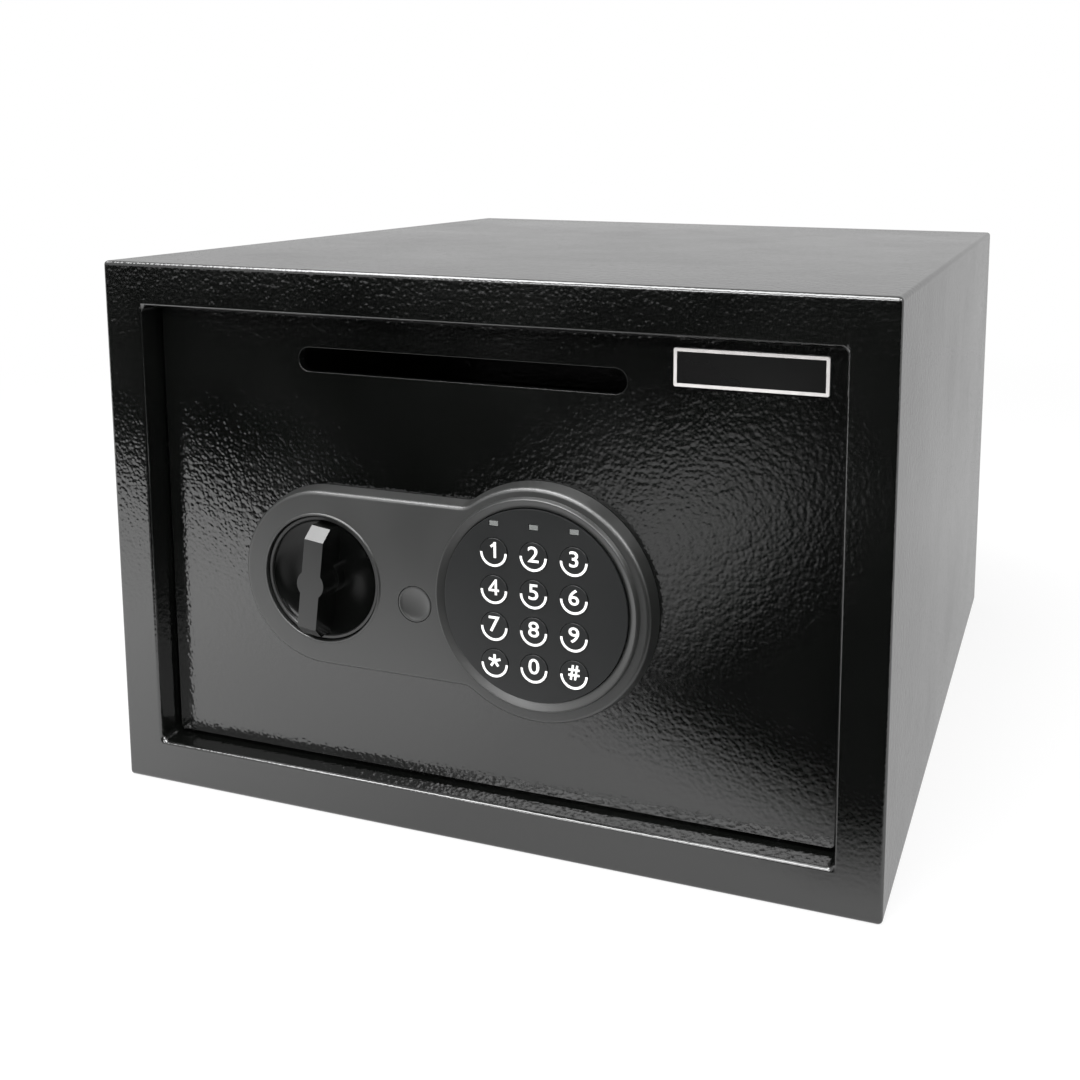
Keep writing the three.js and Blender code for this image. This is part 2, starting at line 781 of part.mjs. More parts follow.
// The dished dial with the grip across it and the round boss in the middle.
function knob() {
  const back = doorFront - dishBackGap;
  const floor = back - dishWall;
  const rim = housingFace + dishRimDrop;
  const rimInner = knobRimRadius - dishRimWidth;
  const sweep = rimInner - dishFloorRadius;
  const rise = floor - rim;
  const bowl = (radiusGain, drop) =>
    Array.from({ length: 7 }, (_, i) => {
      const angle = (Math.PI / 2) * (i / 6);
      return [
        dishFloorRadius + radiusGain + sweep * Math.sin(angle),
        rim + rise * Math.cos(angle) + drop,
      ];
    });
  const profile = [
    [0, back],
    [dishFloorRadius + dishWall, back],
    ...bowl(dishWall, dishWall).slice(1, -1).map(([r, y]) => [r, Math.min(y, back)]),
    [knobRimRadius, rim + dishWall],
    [knobRimRadius, rim],
    ...bowl(0, 0).reverse(),
    [0, floor],
  ];
  const dish = turnedAlongY(profile, knobX, lockHeight, 2 * turns);
  const top = doorFront - gripHeight;
  const half = gripLength / 2;
  const sideView = [
    [floor + 0.5, -half],
    [floor + 0.5, half],
    [top + gripBevel, half],
    [top, half - gripBevel],
    [top, gripBevel - half],
    [top + gripBevel, -half],
  ].map(([y, z]) => [y, z + lockHeight]);
  const grip = standingPlate(sideView, knobX - gripWidth / 2, gripWidth);
  const boss = rodAlongY(gripBossRadius, [top, floor + 0.5], knobX, lockHeight, smallTurns);
  const socketEnd = back - spindleSocket;
  const socket = rodAlongY(spindleRadius + slack, [socketEnd, back + 1], knobX, lockHeight, smallTurns);
  const hub = rodAlongY(knobHubRadius, [socketEnd - dishWall, back], knobX, lockHeight, smallTurns);
  return turnedClockwise(cut(join(dish, grip, boss, hub), socket), knobTilt, knobX, lockHeight);
}

// The shaft through the door, with the cam plate and crank pin that drive the bolts.
function knobSpindle() {
  const front = doorFront - dishBackGap - spindleSocket + slack;
  const camFront = doorRear + camGap;
  const profile = [
    [0, front],
    [spindleRadius, front],
    [spindleRadius, camFront],
    [camRadius, camFront],
    [camRadius, camFront + camThickness],
    [0, camFront + camThickness],
  ];
  const body = turnedAlongY(profile, knobX, lockHeight, smallTurns);
  const { x, z } = crankPinPlace();
  const pinEnd = boltY + carrierThickness / 2 + crankPinPast;
  const pin = rodAlongY(crankPinRadius, [camFront + camThickness / 2, pinEnd], x, z, smallTurns);
  return join(body, pin);
}

// The crank pin with the bolts drawn in: turned clockwise from straight up by half the swing.
function crankPinPlace() {
  const angle = THREE.MathUtils.degToRad(90 - crankSwing / 2);
  return {
    x: knobX + crankRadius * Math.cos(angle),
    z: lockHeight + crankRadius * Math.sin(angle),
  };
}

// Bolt work

function boltPlaces() {
  return [["lower", lockHeight - boltSpacing / 2], ["upper", lockHeight + boltSpacing / 2]];
}

function lockingBolt(z) {
  const nose = 1.5;
  const profile = [
    [0, boltTip],
    [boltRadius - nose, boltTip],
    [boltRadius, boltTip + nose],
    [boltRadius, boltHeel],
    [0, boltHeel],
  ];
  return turnedAlongX(profile, boltY, z);
}

// The notch depth leaves room for the plunger's travel past its standing gap.
const plungerTipGap = 1;
const armBottom = lockHeight + carrierArmRise;
const armTop = armBottom + carrierArmWidth;
const notchBottom = armTop + plungerTipGap - plungerTravel - notchPlay;

function boltCarrier() {
  const flangeLeft = boltHeel + seat;
  const flangeRight = flangeLeft + carrierThickness;
  const reach = boltSpacing / 2 + carrierMargin + carrierThickness;
  const flange = block(
    [flangeLeft, flangeRight],
    [boltY - boltRadius, boltY + boltRadius],
    [lockHeight - reach, lockHeight + reach],
  );
  const { x: pinX, z: pinZ } = crankPinPlace();
  const slotHalf = crankPinRadius + crankSlotPlay;
  const slotLow = pinZ - slotHalf;
  const slotHigh = lockHeight + crankRadius + slotHalf;
  const webRight = flangeRight + carrierWeb;
  const yokeRight = pinX + slotHalf + carrierWeb;
  const notchReach = plungerRadius + notchPlay;
  const armRight = plungerX + boltTravel + notchReach + carrierThickness;
  const yokeLow = slotLow - carrierWeb / 2;
  const outline = [
    [flangeRight - 1, lockHeight - reach],
    [webRight, lockHeight - reach],
    [webRight, yokeLow],
    [yokeRight, yokeLow],
    [yokeRight, armBottom],
    [armRight, armBottom],
    [armRight, armTop],
    [yokeRight, armTop],
    [webRight, armTop + carrierWeb / 2],
    [webRight, lockHeight + reach],
    [flangeRight - 1, lockHeight + reach],
  ];
  const slot = [
    ...arc(pinX, slotHigh - slotHalf, slotHalf, 0, 180, 2 * arcSteps),
    ...arc(pinX, slotLow + slotHalf, slotHalf, 180, 360, 2 * arcSteps),
  ];
  const web = plate(outline, boltY - carrierThickness / 2, carrierThickness, [slot]);
  const notch = (x) =>
    block(
      [x - notchReach, x + notchReach],
      [boltY - boltRadius, boltY + boltRadius],
      [notchBottom, armTop + 1],
    );
  return cut(join(flange, web), notch(plungerX), notch(plungerX + boltTravel));
}

// The bracket on the back of the door that guides the bolts.
function boltGuide() {
  const left = -doorHalf + guideInset;
  const right = left + guideThickness;
  const reach = boltSpacing / 2 + boltRadius + carrierMargin;
  const front = doorRear + seat;
  const level = [lockHeight - reach, lockHeight + reach];
  const wall = block([left, right], [front, boltY + boltRadius + guideThickness], level);
  const foot = block([left, right + guideFoot], [front, front + guideFootThickness], level);
  const bores = boltPlaces().map(([, z]) =>
    turnedAlongX(rodProfile(boltRadius + slack, left - 1, right + 1), boltY, z),
  );
  return cut(join(wall, foot), ...bores);
}

// Solenoid

const solenoidBottom = armTop + plungerTipGap + plungerTravel;
const coilBottom = solenoidBottom + solenoidSheet + seat;
const solenoidTop = coilBottom + coilLength + seat + solenoidSheet;

function solenoidFrame() {
  const across = [plungerX - solenoidWidth / 2, plungerX + solenoidWidth / 2];
  const front = doorRear + seat;
  const depth = [front, boltY + coilRadius + seat];
  const back = block(across, [front, front + solenoidSheet], [solenoidBottom, solenoidTop]);
  const lower = block(across, depth, [solenoidBottom, solenoidBottom + solenoidSheet]);
  const upper = block(across, depth, [solenoidTop - solenoidSheet, solenoidTop]);
  const bore = rodProfile(plungerRadius + slack, solenoidBottom - 1, solenoidTop + 1);
  return cut(join(back, lower, upper), turnedAlongZ(bore, plungerX, boltY));
}

function solenoidCoil() {
  const coilTop = coilBottom + coilLength;
  const winding = turnedAlongZ(rodProfile(coilRadius, coilBottom, coilTop), plungerX, boltY);
  const bore = rodProfile(plungerRadius + slack, coilBottom - 1, coilTop + 1);
  return cut(winding, turnedAlongZ(bore, plungerX, boltY));
}

function solenoidPlunger() {
  const tip = armTop + plungerTipGap;
  const profile = [
    [0, tip],
    [plungerRadius - 0.6, tip],
    [plungerRadius, tip + 0.6],
    [plungerRadius, tip + plungerLength],
    [0, tip + plungerLength],
  ];
  return turnedAlongZ(profile, plungerX, boltY);
}

// Emergency lock

const overrideFront = housingFace + housingWall + slack;
const overrideRear = overrideFront + overrideLength;

function overrideCylinder() {
  const barrel = rodAlongY(
    overrideRadius, [overrideFront, overrideRear], overrideX, overrideHeight, smallTurns,
  );
  const bore = rodAlongY(
    plugRadius + slack, [overrideFront - 1, overrideRear + 1], overrideX, overrideHeight, smallTurns,
  );
  return cut(barrel, bore);
}

// The part that the emergency key turns, with the cam arm at its rear end.
function overridePlug() {
  const camFront = overrideRear + slack;
  const camBack = camFront + camArmThickness;
  const barrelEnds = [overrideFront + slack, camBack];
  const barrel = rodAlongY(plugRadius, barrelEnds, overrideX, overrideHeight, smallTurns);
  const arm = block(
    grown([overrideX, overrideX], camArmWidth / 2),
    [camFront, camBack],
    [overrideHeight - camArmLength, overrideHeight],
  );
  const keyway = block(
    grown([overrideX, overrideX], keywayWidth / 2),
    [overrideFront - 1, overrideFront + keywayDepth],
    grown([overrideHeight, overrideHeight], keywayHeight / 2),
  );
  return cut(join(barrel, arm), keyway);
}

// The dished round cover pressed into the housing over the emergency lock.
function keyCover() {
  const back = housingFace + coverThickness;
  const rim = coverRadius - 0.9;
  const profile = [
    [0, back],
    [coverRadius, back],
    [coverRadius, housingFace + 0.3],
    [coverRadius - 0.4, housingFace],
    [rim, housingFace],
    [rim * 0.6, housingFace + coverDish * 0.7],
    [0, housingFace + coverDish],
  ];
  return turnedAlongY(profile, overrideX, overrideHeight);
}

// Inner cover and electronics

const holderLength = cellLength + cellEndRoom;
const holderInnerHalf = (cellCount * cellPitch + 1) / 2;
const holderFront = caseRear - caseSheet - holderSetBack - 2 * cellRadius - holderWall - seat;
const cellY = holderFront + holderWall + seat + cellRadius;
const windowX = [holderX - holderLength / 2, holderX + holderLength / 2];
const windowZ = [holderHeight - holderInnerHalf, holderHeight + holderInnerHalf];

function innerCase() {
  const front = doorRear + seat;
  const outer = block([caseLeft, caseRight], [front, caseRear], [caseBottom, caseTop]);
  const hollow = block(
    grown([caseLeft, caseRight], -caseSheet),
    [front - 1, caseRear - caseSheet],
    grown([caseBottom, caseTop], -caseSheet),
  );
  const mouthReach = boltSpacing / 2 + boltRadius + mouthMargin;
  const boltMouth = block(
    [caseLeft - 1, caseLeft + caseSheet + 1],
    [front - 1, boltY + boltRadius + mouthMargin],
    [lockHeight - mouthReach, lockHeight + mouthReach],
  );
  const window = block(windowX, [caseRear - caseSheet - 1, caseRear + 1], windowZ);
  const resetHole = rodAlongY(
    resetRadius + slack, [caseRear - caseSheet - 1, caseRear + 1], resetX, resetHeight, smallTurns,
  );
  const bossEnds = [front, caseRear - caseSheet / 2];
  const bosses = caseScrewPlaces().map(([x, z]) =>
    rodAlongY(bossRadius, bossEnds, x, z, smallTurns),
  );
  const screwHoles = caseScrewPlaces().map(([x, z]) =>
    rodAlongY(screwRadius + slack, [front - 1, caseRear + 1], x, z, smallTurns),
  );
  return cut(
    join(cut(outer, hollow), ...bosses, ...coverRails()),
    boltMouth,
    ...screwHoles,
    window,
    resetHole,
  );
}

const batteryCoverZ = grown(windowZ, batteryCoverOverlap);
const batteryCoverX = grown(windowX, batteryCoverOverlap);

// The two rails that the battery cover slides in, each an angle with its lip over the cover's edge.
function coverRails() {
  const coverBack = caseRear + seat + batteryCoverThickness;
  const railBack = coverBack + seat + caseSheet / 2;
  return [-1, 1].flatMap((side) => {
    const edge = side > 0 ? batteryCoverZ[1] : batteryCoverZ[0];
    const span = (from, to) => [Math.min(from, to), Math.max(from, to)];
    const inside = edge + side * seat;
    const outside = inside + side * caseSheet;
    const foot = block(batteryCoverX, [caseRear - caseSheet / 2, railBack], span(inside, outside));
    const lip = block(batteryCoverX, [coverBack + seat, railBack], span(edge - side * railLip, outside));
    return [foot, lip];
  });
}

function batteryCover() {
  const front = caseRear + seat;
  const panel = block(batteryCoverX, [front, front + batteryCoverThickness], batteryCoverZ);
  const back = front + batteryCoverThickness;
  const ribs = Array.from({ length: gripRibs }, (_, i) => {
    const x = batteryCoverX[1] - (i + 2) * gripRibPitch;
    return block(
      grown([x, x], gripRibWidth / 2),
      [back - batteryCoverThickness / 2, back + gripRibHeight],
      grown([holderHeight, holderHeight], gripRibLength / 2),
    );
  });
  return join(panel, ...ribs);
}

function batteryHolder() {
  const rear = caseRear - caseSheet - seat;
  const shell = block(grown(windowX, holderWall), [holderFront, rear], grown(windowZ, holderWall));
  const tray = block(windowX, [holderFront + holderWall, rear + 1], windowZ);
  return cut(shell, tray);
}

// A round cell with its raised end, pointing left or right in turn.
function batteryCell(index) {
  const z = holderHeight + (index - (cellCount - 1) / 2) * cellPitch;
  const direction = index % 2 ? -1 : 1;
  const nubLength = 1.2;
  const profile = [
    [0, -cellLength / 2],
    [cellRadius, -cellLength / 2],
    [cellRadius, cellLength / 2 - nubLength],
    [cellRadius * 0.38, cellLength / 2 - nubLength],
    [cellRadius * 0.38, cellLength / 2],
    [0, cellLength / 2],
  ];
  const placed = profile.map(([r, along]) => [r, holderX + direction * along]);
  return turnedAlongX(placed, cellY, z);
}

function circuitBoard() {
  const front = doorRear + circuitStandOff;
  const depth = [front, front + boardThickness];
  return block([circuitLeft, circuitRight], depth, [circuitBottom, circuitTop]);
}

function resetButton() {
  const back = caseRear + resetProud;
  const front = back - resetLength;
  const profile = [
    [0, front],
    [resetRadius + 1, front],
    [resetRadius + 1, caseRear - caseSheet - slack],
    [resetRadius, caseRear - caseSheet - slack],
    [resetRadius, back - 0.6],
    [resetRadius - 0.6, back],
    [0, back],
  ];
  return turnedAlongY(profile, resetX, resetHeight, smallTurns);
}

function caseScrew(x, z) {
  const underHead = caseRear + seat;
  const profile = [
    [0, doorRear - screwBite],
    [screwRadius, doorRear - screwBite],
    [screwRadius, underHead],
    [screwHeadRadius, underHead],
    [screwHeadRadius, underHead + screwHeadThickness * 0.6],
    [screwHeadRadius * 0.6, underHead + screwHeadThickness],
    [0, underHead + screwHeadThickness],
  ];
  return turnedAlongY(profile, x, z, smallTurns);
}

// Assembly
addPiece("body_shell", bodyShell(), finishes.powderCoat);
addPiece("rear_panel", rearPanel(), finishes.powderCoat);
for (const [side, x] of anchorPlaces()) {
  addPiece(`anchor_plug_${side}`, anchorPlug(x), finishes.plugRubber);
}
addPiece("floor_mat", floorMat(), finishes.felt);
addPiece("hinge_bracket_lower", hingeBracket(lowerBracketLevel), finishes.powderCoat);
addPiece("hinge_bracket_upper", hingeBracket(upperBracketLevel), finishes.powderCoat);
addPiece("door_stop_lower", doorStop(-1), finishes.powderCoat);
addPiece("door_stop_upper", doorStop(1), finishes.powderCoat);
addPiece("strike_bar", strikeBar(), finishes.powderCoat);

addPiece("door_plate", doorPlate(), finishes.powderCoat);
addPiece("hinge_pin_lower", hingePin(-1), finishes.zincSteel);
addPiece("hinge_pin_upper", hingePin(1), finishes.zincSteel);
addPiece("deposit_baffle", depositBaffle(), finishes.powderCoat);
addPiece("name_plate", namePlate(), finishes.plateMetal);

addPiece("lock_housing", lockHousing(), finishes.housingPlastic);
addPiece("keypad_face", keypadFace(), finishes.facePlastic);
addPiece("keypad_board", keypadBoard(), finishes.board);
addPiece("keypad_cable", keypadCable(), finishes.cableJacket);
for (const { name, x, z } of keyPlaces()) {
  addPiece(name, key(x, z), finishes.facePlastic);
}
for (const [i, x] of lensPlaces().entries()) {
  addPiece(`indicator_lens_${i + 1}`, indicatorLens(x), finishes.lensPlastic);
}
addPiece("key_cover", keyCover(), finishes.housingPlastic);

addPiece("knob", knob(), finishes.knobPlastic);
addPiece("knob_spindle", knobSpindle(), finishes.zincSteel);

addPiece("bolt_carrier", boltCarrier(), finishes.zincSteel);
for (const [level, z] of boltPlaces()) {
  addPiece(`locking_bolt_${level}`, lockingBolt(z), finishes.polishedSteel);
}
addPiece("bolt_guide", boltGuide(), finishes.zincSteel);
addPiece("solenoid_frame", solenoidFrame(), finishes.zincSteel);
addPiece("solenoid_coil", solenoidCoil(), finishes.coilTape);
addPiece("solenoid_plunger", solenoidPlunger(), finishes.polishedSteel);
addPiece("override_cylinder", overrideCylinder(), finishes.zincSteel);
addPiece("override_plug", overridePlug(), finishes.brass);

addPiece("inner_case", innerCase(), finishes.coverPlastic);
for (const [i, [x, z]] of caseScrewPlaces().entries()) {
  addPiece(`case_screw_${i + 1}`, caseScrew(x, z), finishes.zincSteel);
}
addPiece("circuit_board", circuitBoard(), finishes.board);
addPiece("battery_holder", batteryHolder(), finishes.coverPlastic);
for (let i = 0; i < cellCount; i += 1) {
  addPiece(`battery_cell_${i + 1}`, batteryCell(i), finishes.cellJacket);
}
addPiece("battery_cover", batteryCover(), finishes.coverPlastic);
addPiece("reset_button", resetButton(), finishes.redPlastic);

// The origin is under the middle of the footprint, and the grip stands in front of the flange.
const gripProud = gripHeight - recess;
safe.position.y = (gripProud - bodyDepth) / 2;

export default safe;
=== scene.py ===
"""Deposit safe: the finished pieces, their materials, and the studio that shows them.

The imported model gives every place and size. Each class below builds one sub-assembly at the place
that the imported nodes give, dresses it, and lets it ride on the body that carries it.
Lengths are in metres, X runs to the right of someone who faces the door, Y to the rear, Z up.
"""

import logging
import math
from contextlib import contextmanager
from dataclasses import dataclass
from enum import Enum
from itertools import pairwise
from typing import Callable, Iterator, Sequence

import bmesh
import bpy
from mathutils import Matrix, Vector


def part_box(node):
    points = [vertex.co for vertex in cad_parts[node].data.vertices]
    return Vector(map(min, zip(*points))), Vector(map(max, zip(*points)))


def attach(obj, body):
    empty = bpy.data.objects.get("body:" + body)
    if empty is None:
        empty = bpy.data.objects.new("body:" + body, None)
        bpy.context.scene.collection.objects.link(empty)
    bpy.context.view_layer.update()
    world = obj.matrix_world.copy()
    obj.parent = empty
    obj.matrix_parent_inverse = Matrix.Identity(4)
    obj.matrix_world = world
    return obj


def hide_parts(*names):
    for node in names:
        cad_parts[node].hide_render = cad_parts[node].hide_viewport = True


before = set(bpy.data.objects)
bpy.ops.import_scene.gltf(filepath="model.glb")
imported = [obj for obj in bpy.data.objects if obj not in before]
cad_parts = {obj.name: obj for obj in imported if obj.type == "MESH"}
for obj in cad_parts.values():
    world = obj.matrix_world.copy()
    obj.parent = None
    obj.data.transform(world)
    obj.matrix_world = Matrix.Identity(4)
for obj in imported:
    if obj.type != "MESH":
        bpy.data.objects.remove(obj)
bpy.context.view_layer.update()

MM = 0.001
DOOR_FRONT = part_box("door_plate")[0].y
KEYS = (*"0123456789", "star", "hash")
LOG = logging.getLogger("deposit_safe")

Piece = bpy.types.Object
Edge = bmesh.types.BMEdge
Tree = bpy.types.NodeTree
Node = bpy.types.Node
Socket = bpy.types.NodeSocket
Pair = tuple[float, float]
Place = tuple[float, float, float]


class Way(Enum):
    """The axis that a turned piece lies along, as the turn that brings +Z onto it."""

    X = (0.0, math.pi / 2, 0.0)
    Y = (-math.pi / 2, 0.0, 0.0)
    Z = (0.0, 0.0, 0.0)


class Combine(Enum):
    """What a second solid does to the first."""

    JOIN = "UNION"
    CUT = "DIFFERENCE"


class Part(Enum):
    """What a mesh is made of."""

    POINT = "VERT"
    EDGE = "EDGE"
    FACE = "FACE"


# Bench work: selecting, shaping and finishing meshes


def pick_only(*pieces: Piece) -> None:
    """Leaves only these objects selected, the first one active.

    Args:
        pieces: The objects to select.
    """
    bpy.ops.object.select_all(action="DESELECT")
    for piece in pieces:
        piece.select_set(True)
    bpy.context.view_layer.objects.active = pieces[0]


@contextmanager
def editing(piece: Piece) -> Iterator[None]:
    """Opens a piece in edit mode with nothing selected, and closes it again.

    Args:
        piece: The piece to edit.
    """
    pick_only(piece)
    bpy.ops.object.mode_set(mode="EDIT")
    bpy.ops.mesh.select_all(action="DESELECT")
    yield
    bpy.ops.object.mode_set(mode="OBJECT")


def pick(piece: Piece, kind: Part, wanted: Callable[..., bool]) -> None:
    """Selects points, edges or faces of the piece that is being edited.

    Args:
        piece: The piece in edit mode.
        kind: Which of the three are selected.
        wanted: Takes one of them and says whether it is selected.
    """
    bpy.ops.mesh.select_all(action="DESELECT")
    bpy.ops.mesh.select_mode(type=kind.value)
    mesh = bmesh.from_edit_mesh(piece.data)
    for part in {Part.POINT: mesh.verts, Part.EDGE: mesh.edges, Part.FACE: mesh.faces}[kind]:
        part.select_set(wanted(part))
    bmesh.update_edit_mesh(piece.data)


def runs_along(edge: Edge, axis: int) -> bool:
    """Says whether an edge is parallel to axis 0, 1 or 2."""
    step = edge.verts[1].co - edge.verts[0].co
    return abs(step[axis]) > 0.999 * step.length


def middle_of(edge: Edge) -> Vector:
    """Gives the middle of an edge."""
    return (edge.verts[0].co + edge.verts[1].co) / 2


def round_edges(radius: float, segments: int = 4) -> None:
    """Rounds the selected edges of the piece that is being edited.

    Args:
        radius: The distance that each edge is set back by.
        segments: How many strips make the round.
    """
    bpy.ops.mesh.bevel(offset_type="OFFSET", offset=radius, segments=segments, affect="EDGES")


def draw_out(*step: float) -> None:
    """Extrudes the selected faces of the piece that is being edited."""
    bpy.ops.mesh.extrude_region_move(TRANSFORM_OT_translate={"value": step})


def draw_edges(*step: float) -> None:
    """Extrudes the selected edges of the piece that is being edited."""
    bpy.ops.mesh.extrude_edges_move(TRANSFORM_OT_translate={"value": step})


def settle(piece: Piece) -> Piece:
    """Applies an object's place, turn and scale, so that the object itself sits at the origin.

    Args:
        piece: The object.

    Returns:
        The same object.
    """
    pick_only(piece)
    bpy.ops.object.transform_apply(location=True, rotation=True, scale=True)
    return piece


def add_block(name: str, low: Sequence[float], high: Sequence[float]) -> Piece:
    """Adds a block between two corners.

    Args:
        name: The new object's name.
        low: Its lowest corner.
        high: Its highest corner.

    Returns:
        The block.
    """
    lowest, highest = Vector(low), Vector(high)
    bpy.ops.mesh.primitive_cube_add(size=1, location=(lowest + highest) / 2)
    piece = bpy.context.object
    piece.name = name
    piece.scale = highest - lowest
    return settle(piece)


def rounded_block(
    name: str,
    low: Sequence[float],
    high: Sequence[float],
    radius: float,
    axis: int,
    segments: int = 6,
) -> Piece:
    """Adds a block whose four edges along one axis are rounded.

    Args:
        name: The new object's name.
        low: Its lowest corner.
        high: Its highest corner.
        radius: The radius of the rounded edges.
        axis: The axis that they run along.
        segments: How many strips make each round.

    Returns:
        The block.
    """
    piece = add_block(name, low, high)
    with editing(piece):
        pick(piece, Part.EDGE, lambda edge: runs_along(edge, axis))
        round_edges(radius, segments)
    return piece


def mm(*points: Pair) -> list[Pair]:
    """Gives points that are written in millimetres in metres."""
    return [(radius * MM, along * MM) for radius, along in points]


def rod(radius: float, start: float, end: float) -> list[Pair]:
    """Gives the profile of a plain rod."""
    return [(0, start), (radius, start), (radius, end), (0, end)]


def turned(name: str, profile: Sequence[Pair], centre: Place, way: Way, sides: int) -> Piece:
    """Turns a profile about an axis, ring by ring.

    Args:
        name: The new object's name.
        profile: Points as (radius, place along the axis). A radius of 0 at an end closes the piece
            on its axis, and a profile whose ends are the same point makes a ring.
        centre: Where the profile's zero point goes.
        way: The axis that the piece lies along.
        sides: How many sides the rings have.

    Returns:
        The turned piece.
    """
    rings = [point for point in profile if point[0] > 0]
    radius, along = rings[0]
    bpy.ops.mesh.primitive_circle_add(vertices=sides, radius=radius, fill_type="NOTHING")
    piece = bpy.context.object
    piece.name = name
    with editing(piece):
        bpy.ops.mesh.select_all(action="SELECT")
        bpy.ops.transform.translate(value=(0, 0, along))
        for (from_radius, start), (to_radius, end) in pairwise(rings):
            draw_edges(0, 0, end - start)
            share = to_radius / from_radius
            bpy.ops.transform.resize(value=(share, share, 1), center_override=(0, 0, end))
        if profile[-1][0] == 0:
            close_ring(profile[-1][1] - rings[-1][1])
        if profile[0][0] == 0:
            pick(piece, Part.EDGE, lambda edge: edge.is_boundary)
            close_ring(profile[0][1] - rings[0][1])
        tidy_mesh()
    piece.rotation_euler = way.value
    piece.location = centre
    return settle(piece)


def close_ring(rise: float) -> None:
    """Closes the selected ring in a point on its axis, the rise away along that axis."""
    draw_edges(0, 0, rise)
    bpy.ops.mesh.merge(type="CENTER")


def tidy_mesh() -> None:
    """Merges doubled points of the piece that is being edited and turns its faces outwards."""
    bpy.ops.mesh.select_mode(type="VERT")
    bpy.ops.mesh.select_all(action="SELECT")
    bpy.ops.mesh.remove_doubles(threshold=0.002 * MM)
    bpy.ops.mesh.normals_make_consistent(inside=False)


def modify(piece: Piece, kind: str, **settings: object) -> None:
    """Applies a modifier to a piece.

    Args:
        piece: The piece.
        kind: The modifier's type.
        settings: Its properties.
    """
    pick_only(piece)
    modifier = piece.modifiers.new("shaping", kind)
    for key, value in settings.items():
        setattr(modifier, key, value)
    bpy.ops.object.modifier_apply(modifier=modifier.name)


def combine(piece: Piece, tool: Piece, how: Combine) -> None:
    """Joins a second solid to a piece or cuts it away, and removes the second solid.

    Args:
        piece: The piece that stays.
        tool: The solid that is used up.
        how: What is done with it.
    """
    modify(piece, "BOOLEAN", operation=how.value, solver="EXACT", object=tool)
    bpy.data.objects.remove(tool)


def join_meshes(*pieces: Piece) -> Piece:
    """Puts several meshes into the first object without joining their surfaces.

    Args:
        pieces: The objects, the one that stays first.

    Returns:
        The object that stays.
    """
    pick_only(*pieces)
    bpy.ops.object.join()
    return pieces[0]


def soften(piece: Piece, width: float, segments: int = 2, angle: float = 30) -> None:
    """Gives every sharp edge of a piece a small round.

    Args:
        piece: The piece.
        width: How wide the round is.
        segments: How many strips make it.
        angle: The least angle between two faces, in degrees, that counts as sharp.
    """
    least = math.radians(angle)
    modify(piece, "BEVEL", limit_method="ANGLE", angle_limit=least, width=width, segments=segments)


def smooth(piece: Piece, angle: float = 35) -> Piece:
    """Shades a piece smoothly and keeps its flat faces flat.

    Args:
        piece: The piece.
        angle: Faces that meet at more than this, in degrees, keep a crease.

    Returns:
        The same piece.
    """
    pick_only(piece)
    bpy.ops.object.shade_smooth_by_angle(angle=math.radians(angle))
    modify(piece, "WEIGHTED_NORMAL", keep_sharp=True, weight=80)
    return piece


def turn_about(piece: Piece, degrees: float, centre: Vector) -> None:
    """Turns a piece clockwise, as seen from the front, about an axis along Y.

    Args:
        piece: The piece.
        degrees: How far it turns.
        centre: A point on the axis.
    """
    turn = Matrix.Rotation(math.radians(degrees), 4, "Y")
    moved = Matrix.Translation(centre) @ turn @ Matrix.Translation(-centre)
    piece.matrix_world = moved @ piece.matrix_world
    settle(piece)


def copy_mesh(source: Piece, name: str, shift: Vector) -> Piece:
    """Copies an object with its own mesh.

    Args:
        source: The object.
        name: The copy's name.
        shift: How far the copy is moved.

    Returns:
        The copy.
    """
    twin = bpy.data.objects.new(name, source.data.copy())
    bpy.context.scene.collection.objects.link(twin)
    twin.location = shift
    return settle(twin)


def reach(node: str) -> tuple[Vector, Vector, Vector]:
    """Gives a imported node's lowest corner, highest corner and middle."""
    low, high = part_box(node)
    return low, high, (low + high) / 2


# Shader groups that several finishes share


def add_node(tree: Tree, kind: str, **settings: object) -> Node:
    """Adds a node to a tree and fills it in.

    Args:
        tree: The node tree.
        kind: The node's type, without its first two words.
        settings: Properties by name, or inputs as in_NAME with a value or an output to link. In an
            input's name, two underscores stand for a space, and in_0, in_1 count the inputs.

    Returns:
        The node.
    """
    made = tree.nodes.new(f"ShaderNode{kind}")
    for key, value in settings.items():
        if not key.startswith("in_"):
            setattr(made, key, value)
    for key, value in settings.items():
        if key.startswith("in_"):
            label = key[3:].replace("__", " ")
            socket = made.inputs[int(label)] if label.isdigit() else made.inputs[label]
            if isinstance(value, Socket):
                tree.links.new(value, socket)
            else:
                socket.default_value = value
    return made


def reckon(tree: Tree, operation: str, *terms: float | Socket) -> Socket:
    """Adds one step of arithmetic.

    Args:
        tree: The node tree.
        operation: What is done.
        terms: The numbers or outputs that it is done with.

    Returns:
        The result.
    """
    inputs = {f"in_{place}": term for place, term in enumerate(terms)}
    return add_node(tree, "Math", operation=operation, **inputs).outputs[0]


def reckon_places(tree: Tree, operation: str, *terms: Sequence[float] | Socket) -> Socket:
    """Adds one step of arithmetic with places.

    Args:
        tree: The node tree.
        operation: What is done.
        terms: The places that it is done with.

    Returns:
        The result, a number for a length or a dot product and otherwise a place.
    """
    inputs = {f"in_{place}": term for place, term in enumerate(terms)}
    made = add_node(tree, "VectorMath", operation=operation, **inputs)
    return made.outputs["Value" if operation in ("LENGTH", "DOT_PRODUCT") else "Vector"]


